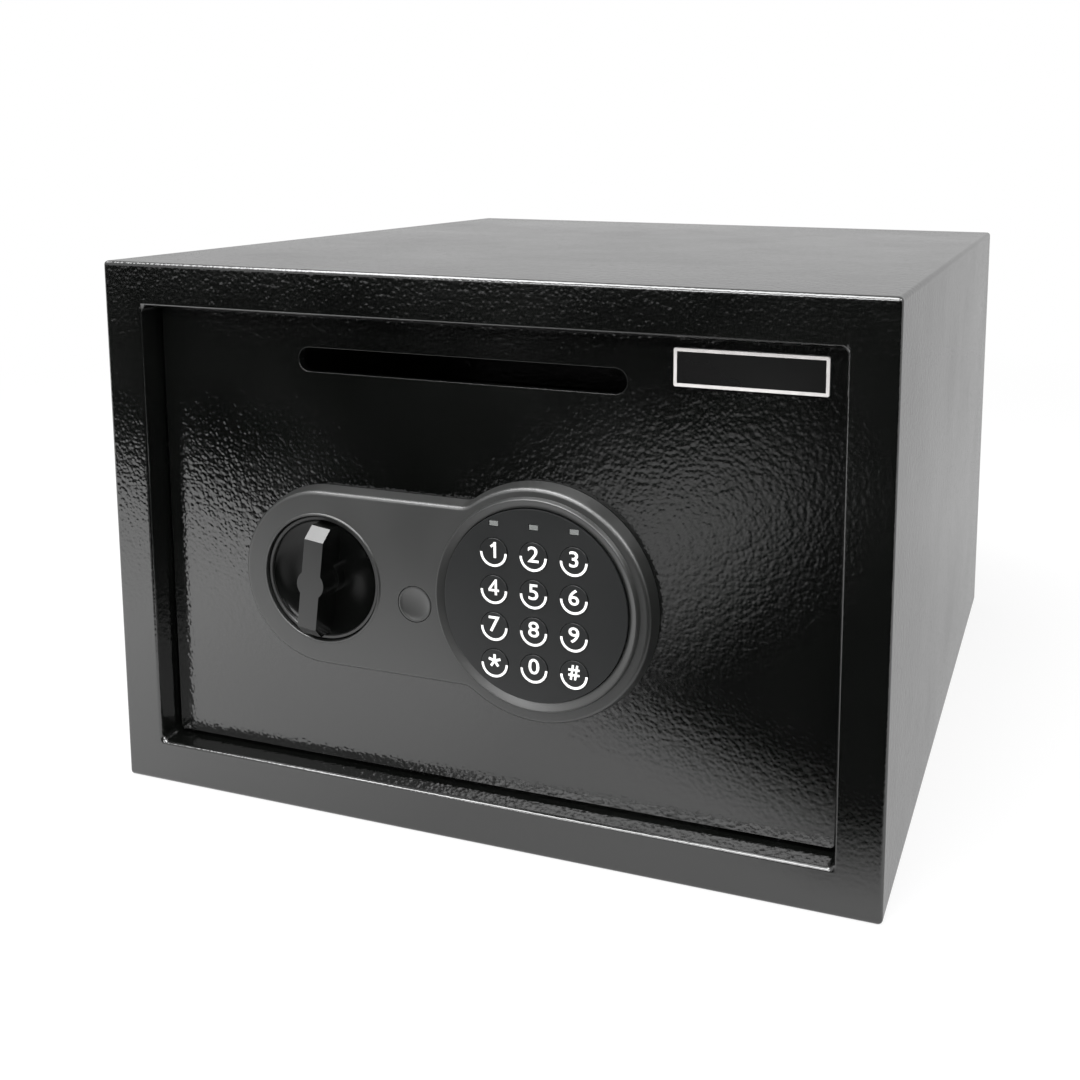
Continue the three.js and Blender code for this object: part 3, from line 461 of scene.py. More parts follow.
def run(tree: Tree, value: Socket, start: Pair, end: Pair, soft: bool = False) -> Socket:
    """Gives a level that runs from one value to another and stays the same beyond them.

    Args:
        tree: The node tree.
        value: The value that the level follows.
        start: The first value, and the level there.
        end: The last value, and the level there.
        soft: Whether the run starts and ends gently.

    Returns:
        The level.
    """
    made = add_node(
        tree, "MapRange", in_0=value, in_1=start[0], in_2=end[0], in_3=start[1], in_4=end[1]
    )
    made.interpolation_type = "SMOOTHSTEP" if soft else "LINEAR"
    return made.outputs[0]


def noise(tree: Tree, place: Socket, scale: float | Socket, detail: float, **more: float) -> Node:
    """Adds a noise texture.

    Args:
        tree: The node tree.
        place: Where it is taken.
        scale: How fine it is.
        detail: How many finer layers it has.
        more: Other inputs.

    Returns:
        The texture node.
    """
    return add_node(tree, "TexNoise", in_Vector=place, in_Scale=scale, in_Detail=detail, **more)


class Draft:
    """A shader group with number inputs and outputs, drawn up once."""

    def __init__(self, name: str, **inputs: float) -> None:
        """Starts a group.

        Args:
            name: The group's name.
            inputs: Its inputs with their values, two underscores for a space.
        """
        self.tree = bpy.data.node_groups.new(name, "ShaderNodeTree")
        for label, value in inputs.items():
            self.add_socket(label.replace("__", " "), "INPUT").default_value = value
        self.given = self.tree.nodes.new("NodeGroupInput").outputs
        self.place = add_node(self.tree, "TexCoord").outputs["Object"]

    def add_socket(self, label: str, side: str) -> bpy.types.NodeTreeInterfaceSocket:
        """Adds a number input or output to the group."""
        return self.tree.interface.new_socket(label, in_out=side, socket_type="NodeSocketFloat")

    def finish(self, **results: Socket) -> Tree:
        """Ends the group.

        Args:
            results: Its outputs by name.

        Returns:
            The group.
        """
        for label in results:
            self.add_socket(label, "OUTPUT")
        last = self.tree.nodes.new("NodeGroupOutput")
        for label, result in results.items():
            self.tree.links.new(result, last.inputs[label])
        return self.tree


def leather_coat_group() -> Tree:
    """Draws the wrinkled surface of textured powder coat.

    Returns:
        The group, with the outputs Height and Cloud.
    """
    draft = Draft("leather coat", Cell__Size=1.5 * MM, Warp=0.45)
    tree, place, size = draft.tree, draft.place, draft.given["Cell Size"]
    scale = reckon(tree, "DIVIDE", 1.0, size)
    fine = noise(tree, place, scale, 2.0, in_Roughness=0.5)
    centred = reckon_places(tree, "SUBTRACT", fine.outputs["Color"], (0.5, 0.5, 0.5))
    warp = reckon(tree, "MULTIPLY", size, draft.given["Warp"])
    even = add_node(tree, "CombineXYZ", in_0=warp, in_1=warp, in_2=warp).outputs[0]
    bent = reckon_places(tree, "MULTIPLY_ADD", centred, even, place)
    cells = add_node(
        tree, "TexVoronoi", feature="SMOOTH_F1", in_Vector=bent, in_Scale=scale, in_Smoothness=0.6
    )
    crowns = reckon(tree, "SUBTRACT", 0.9, cells.outputs["Distance"])
    folds = noise(tree, bent, reckon(tree, "MULTIPLY", scale, 0.55), 1.0)
    height = reckon(tree, "MULTIPLY_ADD", folds.outputs["Fac"], 0.9, crowns)
    return draft.finish(Height=height, Cloud=noise(tree, place, 14.0, 3.0).outputs["Fac"])


def moulded_grain_group() -> Tree:
    """Draws the fine spark-eroded grain of moulded plastic.

    Returns:
        The group, with the outputs Height and Cloud.
    """
    draft = Draft("moulded grain", Grain__Size=0.25 * MM)
    scale = reckon(draft.tree, "DIVIDE", 1.0, draft.given["Grain Size"])
    grain = noise(draft.tree, draft.place, scale, 2.0, in_Roughness=0.6)
    cloud = noise(draft.tree, draft.place, 22.0, 4.0)
    return draft.finish(Height=grain.outputs["Fac"], Cloud=cloud.outputs["Fac"])


def edge_wear_group() -> Tree:
    """Finds convex and concave edges, broken up as handling wears them.

    Returns:
        The group, with the output Mask.
    """
    draft = Draft("edge wear", Width=0.8 * MM, Break__Size=3 * MM)
    tree = draft.tree
    rounded = add_node(tree, "Bevel", samples=4, in_Radius=draft.given["Width"]).outputs["Normal"]
    plain = add_node(tree, "NewGeometry").outputs["Normal"]
    match = reckon_places(tree, "DOT_PRODUCT", rounded, plain)
    scale = reckon(tree, "DIVIDE", 1.0, draft.given["Break Size"])
    patches = noise(tree, draft.place, scale, 3.0)
    edge = run(tree, match, (0.99, 0.0), (0.85, 1.0))
    return draft.finish(Mask=reckon(tree, "MULTIPLY", edge, patches.outputs["Fac"]))


def drawn_lines_group() -> Tree:
    """Draws the fine lines that rolling, grinding or drawing leaves on metal, along X.

    Returns:
        The group, with the outputs Height and Cloud.
    """
    draft = Draft("drawn lines", Line__Size=0.15 * MM, Stretch=60.0)
    tree = draft.tree
    scale = reckon(tree, "DIVIDE", 1.0, draft.given["Line Size"])
    squeeze = reckon(tree, "DIVIDE", 1.0, draft.given["Stretch"])
    factors = add_node(tree, "CombineXYZ", in_0=squeeze, in_1=1.0, in_2=1.0).outputs[0]
    drawn = reckon_places(tree, "MULTIPLY", draft.place, factors)
    lines, cloud = noise(tree, drawn, scale, 3.0), noise(tree, draft.place, 90.0, 4.0)
    return draft.finish(Height=lines.outputs["Fac"], Cloud=cloud.outputs["Fac"])


class Effects:
    """The shared shader groups, each drawn when it is first asked for."""

    _makers: dict[str, Callable[[], Tree]] = {
        "leather coat": leather_coat_group,
        "moulded grain": moulded_grain_group,
        "edge wear": edge_wear_group,
        "drawn lines": drawn_lines_group,
    }

    @classmethod
    def get(cls, name: str) -> Tree:
        """Gives the group of that name."""
        return bpy.data.node_groups.get(name) or cls._makers[name]()


# Finishes


@dataclass(frozen=True)
class Finish:
    """A finish, with the shader that all finishes share. Each kind adds its own detail."""

    name: str
    slot: str
    colour: tuple[float, float, float]
    roughness: float
    metallic: float = 0.0
    ior: float = 1.5
    coat: float = 0.0

    def material(self) -> bpy.types.Material:
        """Gives the finish's material, made once.

        Returns:
            The material.
        """
        made = bpy.data.materials.get(self.name)
        if made:
            return made
        made = bpy.data.materials.new(self.name)
        made.use_nodes = True
        shader = made.node_tree.nodes["Principled BSDF"]
        shader.inputs["Base Color"].default_value = (*self.colour, 1)
        shader.inputs["Roughness"].default_value = self.roughness
        shader.inputs["Metallic"].default_value = self.metallic
        shader.inputs["IOR"].default_value = self.ior
        shader.inputs["Coat Weight"].default_value = self.coat
        self.detail(shader)
        return made

    def detail(self, shader: Node) -> None:
        """Adds the nodes that make the finish more than one colour.

        Args:
            shader: The material's Principled shader.
        """

    def group(self, shader: Node, name: str, **values: float) -> bpy.types.NodeOutputs:
        """Puts a shared group into the material.

        Args:
            shader: The material's Principled shader.
            name: The group's name.
            values: The group's inputs, with two underscores for a space.

        Returns:
            The group's outputs.
        """
        made = shader.id_data.nodes.new("ShaderNodeGroup")
        made.node_tree = Effects.get(name)
        for label, value in values.items():
            made.inputs[label.replace("__", " ")].default_value = value
        return made.outputs

    def tint(
        self,
        shader: Node,
        mask: Socket,
        dark: float,
        light: float,
        edges: Socket | None = None,
        worn: Sequence[float] = (),
    ) -> None:
        """Varies the finish's colour by a mask, and along worn edges.

        Args:
            shader: The material's Principled shader.
            mask: A value from 0 to 1.
            dark: What the colour is multiplied by where the mask is 0.
            light: What it is multiplied by where the mask is 1.
            edges: The mask of the worn edges, if they show.
            worn: The colour there.
        """
        tree = shader.id_data
        ramp = add_node(tree, "ValToRGB", in_Fac=mask)
        for element, place, share in zip(ramp.color_ramp.elements, (0.25, 0.75), (dark, light)):
            element.position = place
            element.color = (*(share * part for part in self.colour), 1)
        colour = ramp.outputs["Color"]
        if edges is not None:
            bare = (*worn, 1)
            blend = add_node(tree, "Mix", data_type="RGBA", in_0=edges, in_6=colour, in_7=bare)
            colour = blend.outputs[2]
        tree.links.new(colour, shader.inputs["Base Color"])

    def vary_roughness(self, shader: Node, mask: Socket, spread: float) -> None:
        """Varies the roughness about its value by a mask.

        Args:
            shader: The material's Principled shader.
            mask: A value from 0 to 1.
            spread: The most that the roughness rises or falls by.
        """
        tree, middle = shader.id_data, self.roughness
        level = run(tree, mask, (0.25, middle - spread), (0.75, middle + spread))
        tree.links.new(level, shader.inputs["Roughness"])

    def bump(self, shader: Node, height: Socket, depth: float) -> None:
        """Lets a height tilt the surface.

        Args:
            shader: The material's Principled shader.
            height: A value from 0 to 1.
            depth: How deep the relief is.
        """
        tree = shader.id_data
        relief = add_node(tree, "Bump", in_Height=height, in_Distance=depth, in_Strength=1.0)
        tree.links.new(relief.outputs["Normal"], shader.inputs["Normal"])


@dataclass(frozen=True)
class PowderCoat(Finish):
    """Textured powder coat: gloss over a leather-like wrinkle."""

    cell: float = 1.8 * MM
    relief: float = 0.085 * MM
    thin: tuple[float, float, float] = (0.02, 0.02, 0.019)

    def detail(self, shader: Node) -> None:
        """Adds the wrinkle, its uneven gloss and thin spots along the edges.

        Args:
            shader: The material's Principled shader.
        """
        wrinkle = self.group(shader, "leather coat", Cell__Size=self.cell)
        wear = self.group(shader, "edge wear", Width=0.5 * MM, Break__Size=4 * MM)
        self.tint(shader, wrinkle["Cloud"], 0.75, 1.3, wear["Mask"], self.thin)
        self.vary_roughness(shader, wrinkle["Cloud"], 0.04)
        self.bump(shader, wrinkle["Height"], self.relief)


@dataclass(frozen=True)
class MouldedPlastic(Finish):
    """Moulded plastic with a fine grain and edges polished by handling."""

    grain: float = 0.25 * MM
    relief: float = 0.012 * MM
    edge: float = 1.6

    def detail(self, shader: Node) -> None:
        """Adds the grain, faint clouds and paler edges.

        Args:
            shader: The material's Principled shader.
        """
        grain = self.group(shader, "moulded grain", Grain__Size=self.grain)
        wear = self.group(shader, "edge wear", Width=0.4 * MM, Break__Size=2.5 * MM)
        bright = [min(1.0, self.edge * part + 0.01) for part in self.colour]
        self.tint(shader, grain["Cloud"], 0.88, 1.12, wear["Mask"], bright)
        self.vary_roughness(shader, grain["Cloud"], 0.05)
        self.bump(shader, grain["Height"], self.relief)


@dataclass(frozen=True)
class DrawnMetal(Finish):
    """Plated, ground or drawn metal with fine lines and cloudy gloss."""

    line: float = 0.15 * MM
    stretch: float = 60.0
    relief: float = 0.004 * MM

    def detail(self, shader: Node) -> None:
        """Adds the lines and the clouds.

        Args:
            shader: The material's Principled shader.
        """
        lines = self.group(shader, "drawn lines", Line__Size=self.line, Stretch=self.stretch)
        self.tint(shader, lines["Cloud"], 0.82, 1.1)
        self.vary_roughness(shader, lines["Height"], 0.08)
        self.bump(shader, lines["Height"], self.relief)


@dataclass(frozen=True)
class NeedleFelt(Finish):
    """Needle felt: matted fibres, soft and uneven."""

    def detail(self, shader: Node) -> None:
        """Adds the fibres.

        Args:
            shader: The material's Principled shader.
        """
        fibres = self.group(shader, "drawn lines", Line__Size=0.5 * MM, Stretch=2.5)
        grain = self.group(shader, "moulded grain", Grain__Size=0.6 * MM)
        both = reckon(shader.id_data, "ADD", fibres["Height"], grain["Height"])
        self.tint(shader, reckon(shader.id_data, "MULTIPLY", both, 0.5), 0.55, 1.6)
        shader.inputs["Sheen Weight"].default_value = 0.3
        self.bump(shader, both, 0.5 * MM)


@dataclass(frozen=True)
class CellJacket(Finish):
    """A cell's shrunk film jacket, with a plain band and a metal end."""

    def detail(self, shader: Node) -> None:
        """Adds the film's clouds and slight ripples.

        Args:
            shader: The material's Principled shader.
        """
        grain = self.group(shader, "moulded grain", Grain__Size=1.5 * MM)
        self.tint(shader, grain["Cloud"], 0.85, 1.15)
        self.bump(shader, grain["Height"], 0.01 * MM)


POWDER_COAT = PowderCoat("powder_coat_black", "powder_coat", (0.003, 0.0033, 0.003), 0.13, ior=2.1)
HOUSING = MouldedPlastic(
    "housing_charcoal", "housing_plastic", (0.011, 0.0118, 0.011), 0.38, ior=2.15
)
FACE = MouldedPlastic("keypad_face_black", "face_plastic", (0.009, 0.0098, 0.01), 0.36, ior=1.6)
KNOB = MouldedPlastic("knob_charcoal", "knob_plastic", (0.004, 0.0043, 0.004), 0.36, ior=2.0)
# The knob's dish: a smoother gloss, and a darker colour with weaker reflection than the knob's own
# as painted shade in the recess.
DISH_PAINTED_SHADE = MouldedPlastic(
    "knob_dish_painted_shade", "knob_plastic", (0.002, 0.0022, 0.002), 0.2, relief=0.002 * MM, ior=1.42
)
CAP = MouldedPlastic("key_cap_black", "face_plastic", (0.009, 0.0098, 0.01), 0.32, ior=1.6)
PRINT = MouldedPlastic(
    "key_print_white", "face_plastic", (0.93, 0.93, 0.92), 0.45, relief=0.004 * MM, edge=1.0
)
LENS = MouldedPlastic("smoked_lens", "lens_plastic", (0.15, 0.156, 0.152), 0.3, relief=0.002 * MM)
PLATE = MouldedPlastic("plate_black", "plate_metal", (0.006, 0.006, 0.006), 0.28, relief=0.003 * MM)
PLATE_RIM = DrawnMetal("plate_bright_rim", "plate_metal", (0.66, 0.64, 0.63), 0.4, metallic=0.1)
ZINC = DrawnMetal("zinc_plating", "zinc_steel", (0.5, 0.51, 0.52), 0.36, metallic=1.0)
STEEL = DrawnMetal("ground_steel", "polished_steel", (0.6, 0.6, 0.6), 0.22, metallic=1.0)
BRASS = DrawnMetal("turned_brass", "brass", (0.55, 0.38, 0.13), 0.3, metallic=1.0)
TAPE = MouldedPlastic("coil_tape_amber", "coil_tape", (0.4, 0.18, 0.025), 0.4, grain=0.8 * MM)
BOARD = MouldedPlastic("solder_mask_green", "board", (0.012, 0.1, 0.034), 0.35, grain=1.2 * MM)
COVER = MouldedPlastic(
    "case_black", "cover_plastic", (0.017, 0.018, 0.0175), 0.5, grain=0.5 * MM, relief=0.03 * MM
)
JACKET = CellJacket("cell_film", "cell_jacket", (0.04, 0.1, 0.23), 0.3, coat=0.4)
BAND = CellJacket("cell_band", "cell_jacket", (0.55, 0.55, 0.52), 0.3, coat=0.4)
RED = MouldedPlastic("button_red", "red_plastic", (0.4, 0.015, 0.012), 0.33)
FELT = NeedleFelt("felt_grey", "felt", (0.045, 0.046, 0.048), 0.95)
RUBBER = MouldedPlastic("plug_black", "plug_rubber", (0.012, 0.012, 0.012), 0.65, grain=0.4 * MM)
CABLE = MouldedPlastic("cable_grey", "cable_jacket", (0.3, 0.31, 0.32), 0.5)


def carry(piece: Piece, body: str, node: str, *finishes: Finish) -> None:
    """Dresses a finished piece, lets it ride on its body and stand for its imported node.

    Args:
        piece: The finished piece.
        body: The body that carries it.
        node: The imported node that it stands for.
        finishes: Its finishes, the one that names its material slot first.
    """
    for place, finish in enumerate(finishes):
        if place < len(piece.data.materials):
            piece.data.materials[place] = finish.material()
        else:
            piece.data.materials.append(finish.material())
    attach(piece, body)
    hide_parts(node)
    LOG.info("%s rides on %s, %d faces", piece.name, body, len(piece.data.polygons))


def carry_copies(
    piece: Piece, body: str, node: str, ends: Sequence[object], *finishes: Finish
) -> None:
    """Copies a piece, modelled once at the first of several nodes, to all of them, and dresses it.

    Args:
        piece: The piece, which the copies take the place of.
        body: The body that carries them.
        node: The nodes' name, without what it ends in.
        ends: What ends each node's name, and the name of its copy.
        finishes: The finishes, the one that names the material slot first.
    """
    for end, twin in copies(piece, node, ends).items():
        carry(twin, body, f"{node}_{end}", *finishes)


def copies(piece: Piece, node: str, ends: Sequence[object]) -> dict[object, Piece]:
    """Copies a piece, modelled once at the first of several like nodes, to all of them.

    Args:
        piece: The piece, which the copies take the place of.
        node: The nodes' name, without what it ends in.
        ends: What ends each node's name, and the name of its copy.

    Returns:
        The copies by the end of their names.
    """
    made, start = {}, reach(f"{node}_{ends[0]}")[2]
    for end in ends:
        shift = reach(f"{node}_{end}")[2] - start
        made[end] = copy_mesh(piece, f"{piece.name}_{end}", shift)
    bpy.data.objects.remove(piece)
    return made


def carry_packed(node: str, body: str, width: float, finish: Finish) -> None:
    """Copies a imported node, merges its loose triangles, rounds its edges and dresses it.

    Args:
        node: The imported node.
        body: The body that carries it.
        width: How wide the rounded edges are.
        finish: Its finish.
    """
    piece = bpy.data.objects.new(f"{node}_piece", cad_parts[node].data.copy())
    bpy.context.scene.collection.objects.link(piece)
    piece.data.materials.clear()
    with editing(piece):
        bpy.ops.mesh.select_mode(type="VERT")
        bpy.ops.mesh.select_all(action="SELECT")
        bpy.ops.mesh.customdata_custom_splitnormals_clear()
        bpy.ops.mesh.remove_doubles(threshold=0.002 * MM)
        bpy.ops.mesh.dissolve_limited(angle_limit=math.radians(1))
    if width > 0:
        soften(piece, width, 2, 35)
    carry(smooth(piece), body, node, finish)


def paint(piece: Piece, place: int, wanted: Callable[[Vector, Vector], bool]) -> None:
    """Gives some faces of a piece its second or third finish.

    Args:
        piece: The piece.
        place: The finish's place in the piece's list, from 0.
        wanted: Takes a face's middle and normal, and says whether it gets the finish.
    """
    for face in piece.data.polygons:
        if wanted(face.center, face.normal):
            face.material_index = place


def off_axis(place: Vector, middle: Vector, way: Way) -> float:
    """Gives a place's distance from the axis that runs through a middle."""
    aside = place - middle
    return math.hypot(aside.y if way is Way.X else aside.x, aside.z)


# The steel box


@dataclass
class SteelBody:
    """The folded sheet-steel box, its rear panel and what is fixed inside it."""

    sheet: float = 2 * MM
    fold: float = 2 * MM
    flange: float = 20 * MM
    lining: float = 16 * MM
    opening_corner: float = 3.5 * MM
    near: float = 0.1 * MM
    edge: float = 0.35 * MM

    def build(self) -> None:
        """Builds and dresses every piece of the box."""
        carry(self.shell(), "body", "body_shell", POWDER_COAT)
        carry_packed("rear_panel", "body", self.edge, POWDER_COAT)
        carry(self.mat(), "body", "floor_mat", FELT)
        carry_copies(self.plug(), "body", "anchor_plug", ("left", "right"), RUBBER)
        for level in ("lower", "upper"):
            carry_packed(f"hinge_bracket_{level}", "body", self.edge, POWDER_COAT)
            carry_packed(f"door_stop_{level}", "body", self.edge, POWDER_COAT)
        carry_packed("strike_bar", "body", self.edge, POWDER_COAT)

    def shell(self) -> Piece:
        """Folds the walls, the front flange and the return that lines the opening.

        Returns:
            The body shell.
        """
        low, high, _ = reach("body_shell")
        piece = add_block("steel_body", low, high)
        with editing(piece):
            pick(piece, Part.FACE, lambda face: face.normal.y > 0.9)
            bpy.ops.mesh.delete(type="FACE")
            pick(piece, Part.FACE, lambda face: face.normal.y < -0.9)
            bpy.ops.mesh.inset(thickness=self.flange, depth=0)
            draw_out(0, self.lining, 0)
            bpy.ops.mesh.delete(type="FACE")
            pick(
                piece,
                Part.EDGE,
                lambda edge: runs_along(edge, 1) and abs(edge.verts[0].co.x) < high.x - MM,
            )
            round_edges(self.opening_corner, 6)
            for chosen in (self.is_outer_fold, self.is_opening_rim):
                pick(piece, Part.EDGE, chosen)
                round_edges(self.fold, 5)
            tidy_mesh()
        modify(piece, "SOLIDIFY", thickness=self.sheet, offset=-1, use_even_offset=True)
        return smooth(piece)

    def is_outer_fold(self, edge: Edge) -> bool:
        """Says whether an edge is one of the eight outer folds.

        Args:
            edge: An edge of the shell.

        Returns:
            Whether it is.
        """
        low, high, _ = reach("body_shell")
        middle = middle_of(edge)
        at_side = abs(middle.x) > high.x - self.near
        beyond = at_side or not low.z + self.near < middle.z < high.z - self.near
        return (runs_along(edge, 1) and at_side) or (middle.y < low.y + self.near and beyond)

    def is_opening_rim(self, edge: Edge) -> bool:
        """Says whether an edge lies on the rim where the flange turns into the opening.

        Args:
            edge: An edge of the shell.

        Returns:
            Whether it does.
        """
        low, high, _ = reach("body_shell")
        middle, half = middle_of(edge), self.flange / 2
        on_front = all(corner.co.y < low.y + self.near / 10 for corner in edge.verts)
        inner = abs(middle.x) < high.x - self.flange + self.near
        level = low.z + half < middle.z < high.z - half
        bent = len(edge.link_faces) == 2 and edge.calc_face_angle(0) > 1
        return on_front and inner and level and bent

    def mat(self) -> Piece:
        """Cuts the felt mat, its upper edge rounded by wear.

        Returns:
            The floor mat.
        """
        low, high, _ = reach("floor_mat")
        piece = rounded_block("felt_mat", low, high, 6 * MM, 2)
        with editing(piece):
            pick(piece, Part.EDGE, lambda edge: middle_of(edge).z > high.z - self.near)
            round_edges(1.2 * MM, 4)
        return smooth(piece)

    def plug(self) -> Piece:
        """Moulds the left anchor hole plug, with a domed head and a hollow stem.

        Returns:
            The plug.
        """
        low, high, middle = reach("anchor_plug_left")
        end = (high.y - low.y) / MM
        head = ((0, 0), (2.2, 0.05), (5, 0.25), (7.3, 0.6), (7.85, 1), (8, 1.3), (8, 1.5))
        stem = ((5.2, 1.5), (5.2, end - 0.5), (4.7, end), (1.8, end), (1.5, end - 1), (0, end - 1))
        return smooth(turned("hole_plug", mm(*head, *stem), (middle.x, low.y, middle.z), Way.Y, 48))


# The door


@dataclass
class Door:
    """The recessed door, its hinge pins, name plate and deposit baffle."""

    corner: float = 2 * MM
    thickness: float = 4 * MM
    slot_end: float = 5.45 * MM
    slot_length: float = 157 * MM
    slot_height: float = 11 * MM
    slot_left: float = -87 * MM
    slot_bottom: float = 203 * MM
    edge: float = 0.4 * MM
    plate_border: float = 1.35 * MM
    plate_sink: float = 0.15 * MM
    plate_slope: float = 0.1 * MM
    plate_corner: float = 0.8 * MM
    spindle_hole: float = 5.3 * MM
    lock_room: float = 0.3 * MM
    cable_room: float = 0.6 * MM
    stud_radius: float = 2.5 * MM
    stud_inset: float = 5 * MM
    tapped_radius: float = 2.3 * MM
    tapped_depth: float = 2.8 * MM

    def build(self) -> None:
        """Builds and dresses the door and what is fixed to it."""
        carry(self.panel(), "door", "door_plate", POWDER_COAT)
        carry(self.name_plate(), "door", "name_plate", PLATE, PLATE_RIM)
        carry_packed("deposit_baffle", "door", 0.3 * MM, POWDER_COAT)
        for level in ("lower", "upper"):
            carry_packed(f"hinge_pin_{level}", "door", self.edge, ZINC)

    def panel(self) -> Piece:
        """Cuts the door plate with its slot and holes, and welds on the circuit board's studs.

        Returns:
            The door plate.
        """
        low, high, _ = reach("door_plate")
        front, rear = low.y - MM, low.y + self.thickness
        piece = rounded_block("door_panel", low, (high.x, rear, high.z), self.corner, 1)
        start = (self.slot_left, front, self.slot_bottom)
        end = (self.slot_left + self.slot_length, rear + MM, self.slot_bottom + self.slot_height)
        combine(piece, rounded_block("slot_tool", start, end, self.slot_end, 1, 10), Combine.CUT)
        holes = {
            "knob_spindle": self.spindle_hole,
            "override_cylinder": self.half_width("override_cylinder") + self.lock_room,
            "keypad_cable": self.half_width("keypad_cable") + self.cable_room,
        }
        for node, radius in holes.items():
            middle = reach(node)[2]
            profile, place = rod(radius, 0, 6 * MM), (middle.x, front, middle.z)
            combine(piece, turned("hole_tool", profile, place, Way.Y, 40), Combine.CUT)
        soften(piece, self.edge, 3, 60)
        self.add_studs(piece, rear, high.y)
        self.tap_holes(piece, rear)
        return smooth(piece)

    def half_width(self, node: str) -> float:
        """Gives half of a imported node's width."""
        low, high, _ = reach(node)
        return (high.x - low.x) / 2

    def add_studs(self, piece: Piece, rear: float, end: float) -> None:
        """Joins the four studs that hold the circuit board.

        Args:
            piece: The door plate.
            rear: The place of its rear face.
            end: Where the studs end.
        """
        low, high, _ = reach("circuit_board")
        radius, depth, chamfer = self.stud_radius, end - rear, 0.3 * MM
        shaft = rod(radius, -0.5 * MM, depth - chamfer)
        profile = [*shaft[:-1], (radius - chamfer, depth), (0, depth)]
        for x in (low.x + self.stud_inset, high.x - self.stud_inset):
            for z in (low.z + self.stud_inset, high.z - self.stud_inset):
                combine(piece, turned("stud_tool", profile, (x, rear, z), Way.Y, 24), Combine.JOIN)

    def tap_holes(self, piece: Piece, rear: float) -> None:
        """Drills the four holes that the case screws bite in.

        Args:
            piece: The door plate.
            rear: The place of its rear face.
        """
        profile = rod(self.tapped_radius, -self.tapped_depth, MM)
        for number in range(1, 5):
            middle = reach(f"case_screw_{number}")[2]
            place = (middle.x, rear, middle.z)
            combine(piece, turned("tap_tool", profile, place, Way.Y, 24), Combine.CUT)

    def name_plate(self) -> Piece:
        """Presses the plain name plate, with a raised bright border round its field.

        Returns:
            The name plate, its border as the second finish.
        """
        low, high, _ = reach("name_plate")
        piece = add_block("bare_plate", low, high)
        with editing(piece):
            pick(piece, Part.FACE, lambda face: face.normal.y < -0.9)
            bpy.ops.mesh.inset(thickness=self.plate_border, depth=0)
            bpy.ops.mesh.inset(thickness=self.plate_slope, depth=-self.plate_sink)
            pick(piece, Part.EDGE, lambda edge: runs_along(edge, 1))
            round_edges(self.plate_corner, 6)
        soften(piece, 0.04 * MM, 2, 40)
        centre_x, centre_z = (low.x + high.x) / 2, (low.z + high.z) / 2
        half_x = high.x - self.plate_border - self.plate_slope / 2 - centre_x
        half_z = (high.z - low.z) / 2 - self.plate_border - self.plate_slope / 2
        paint(
            piece,
            1,
            lambda place, normal: place.y < low.y + 0.6 * MM
            and (abs(place.x - centre_x) > half_x or abs(place.z - centre_z) > half_z),
        )
        return smooth(piece)


# The lock housing


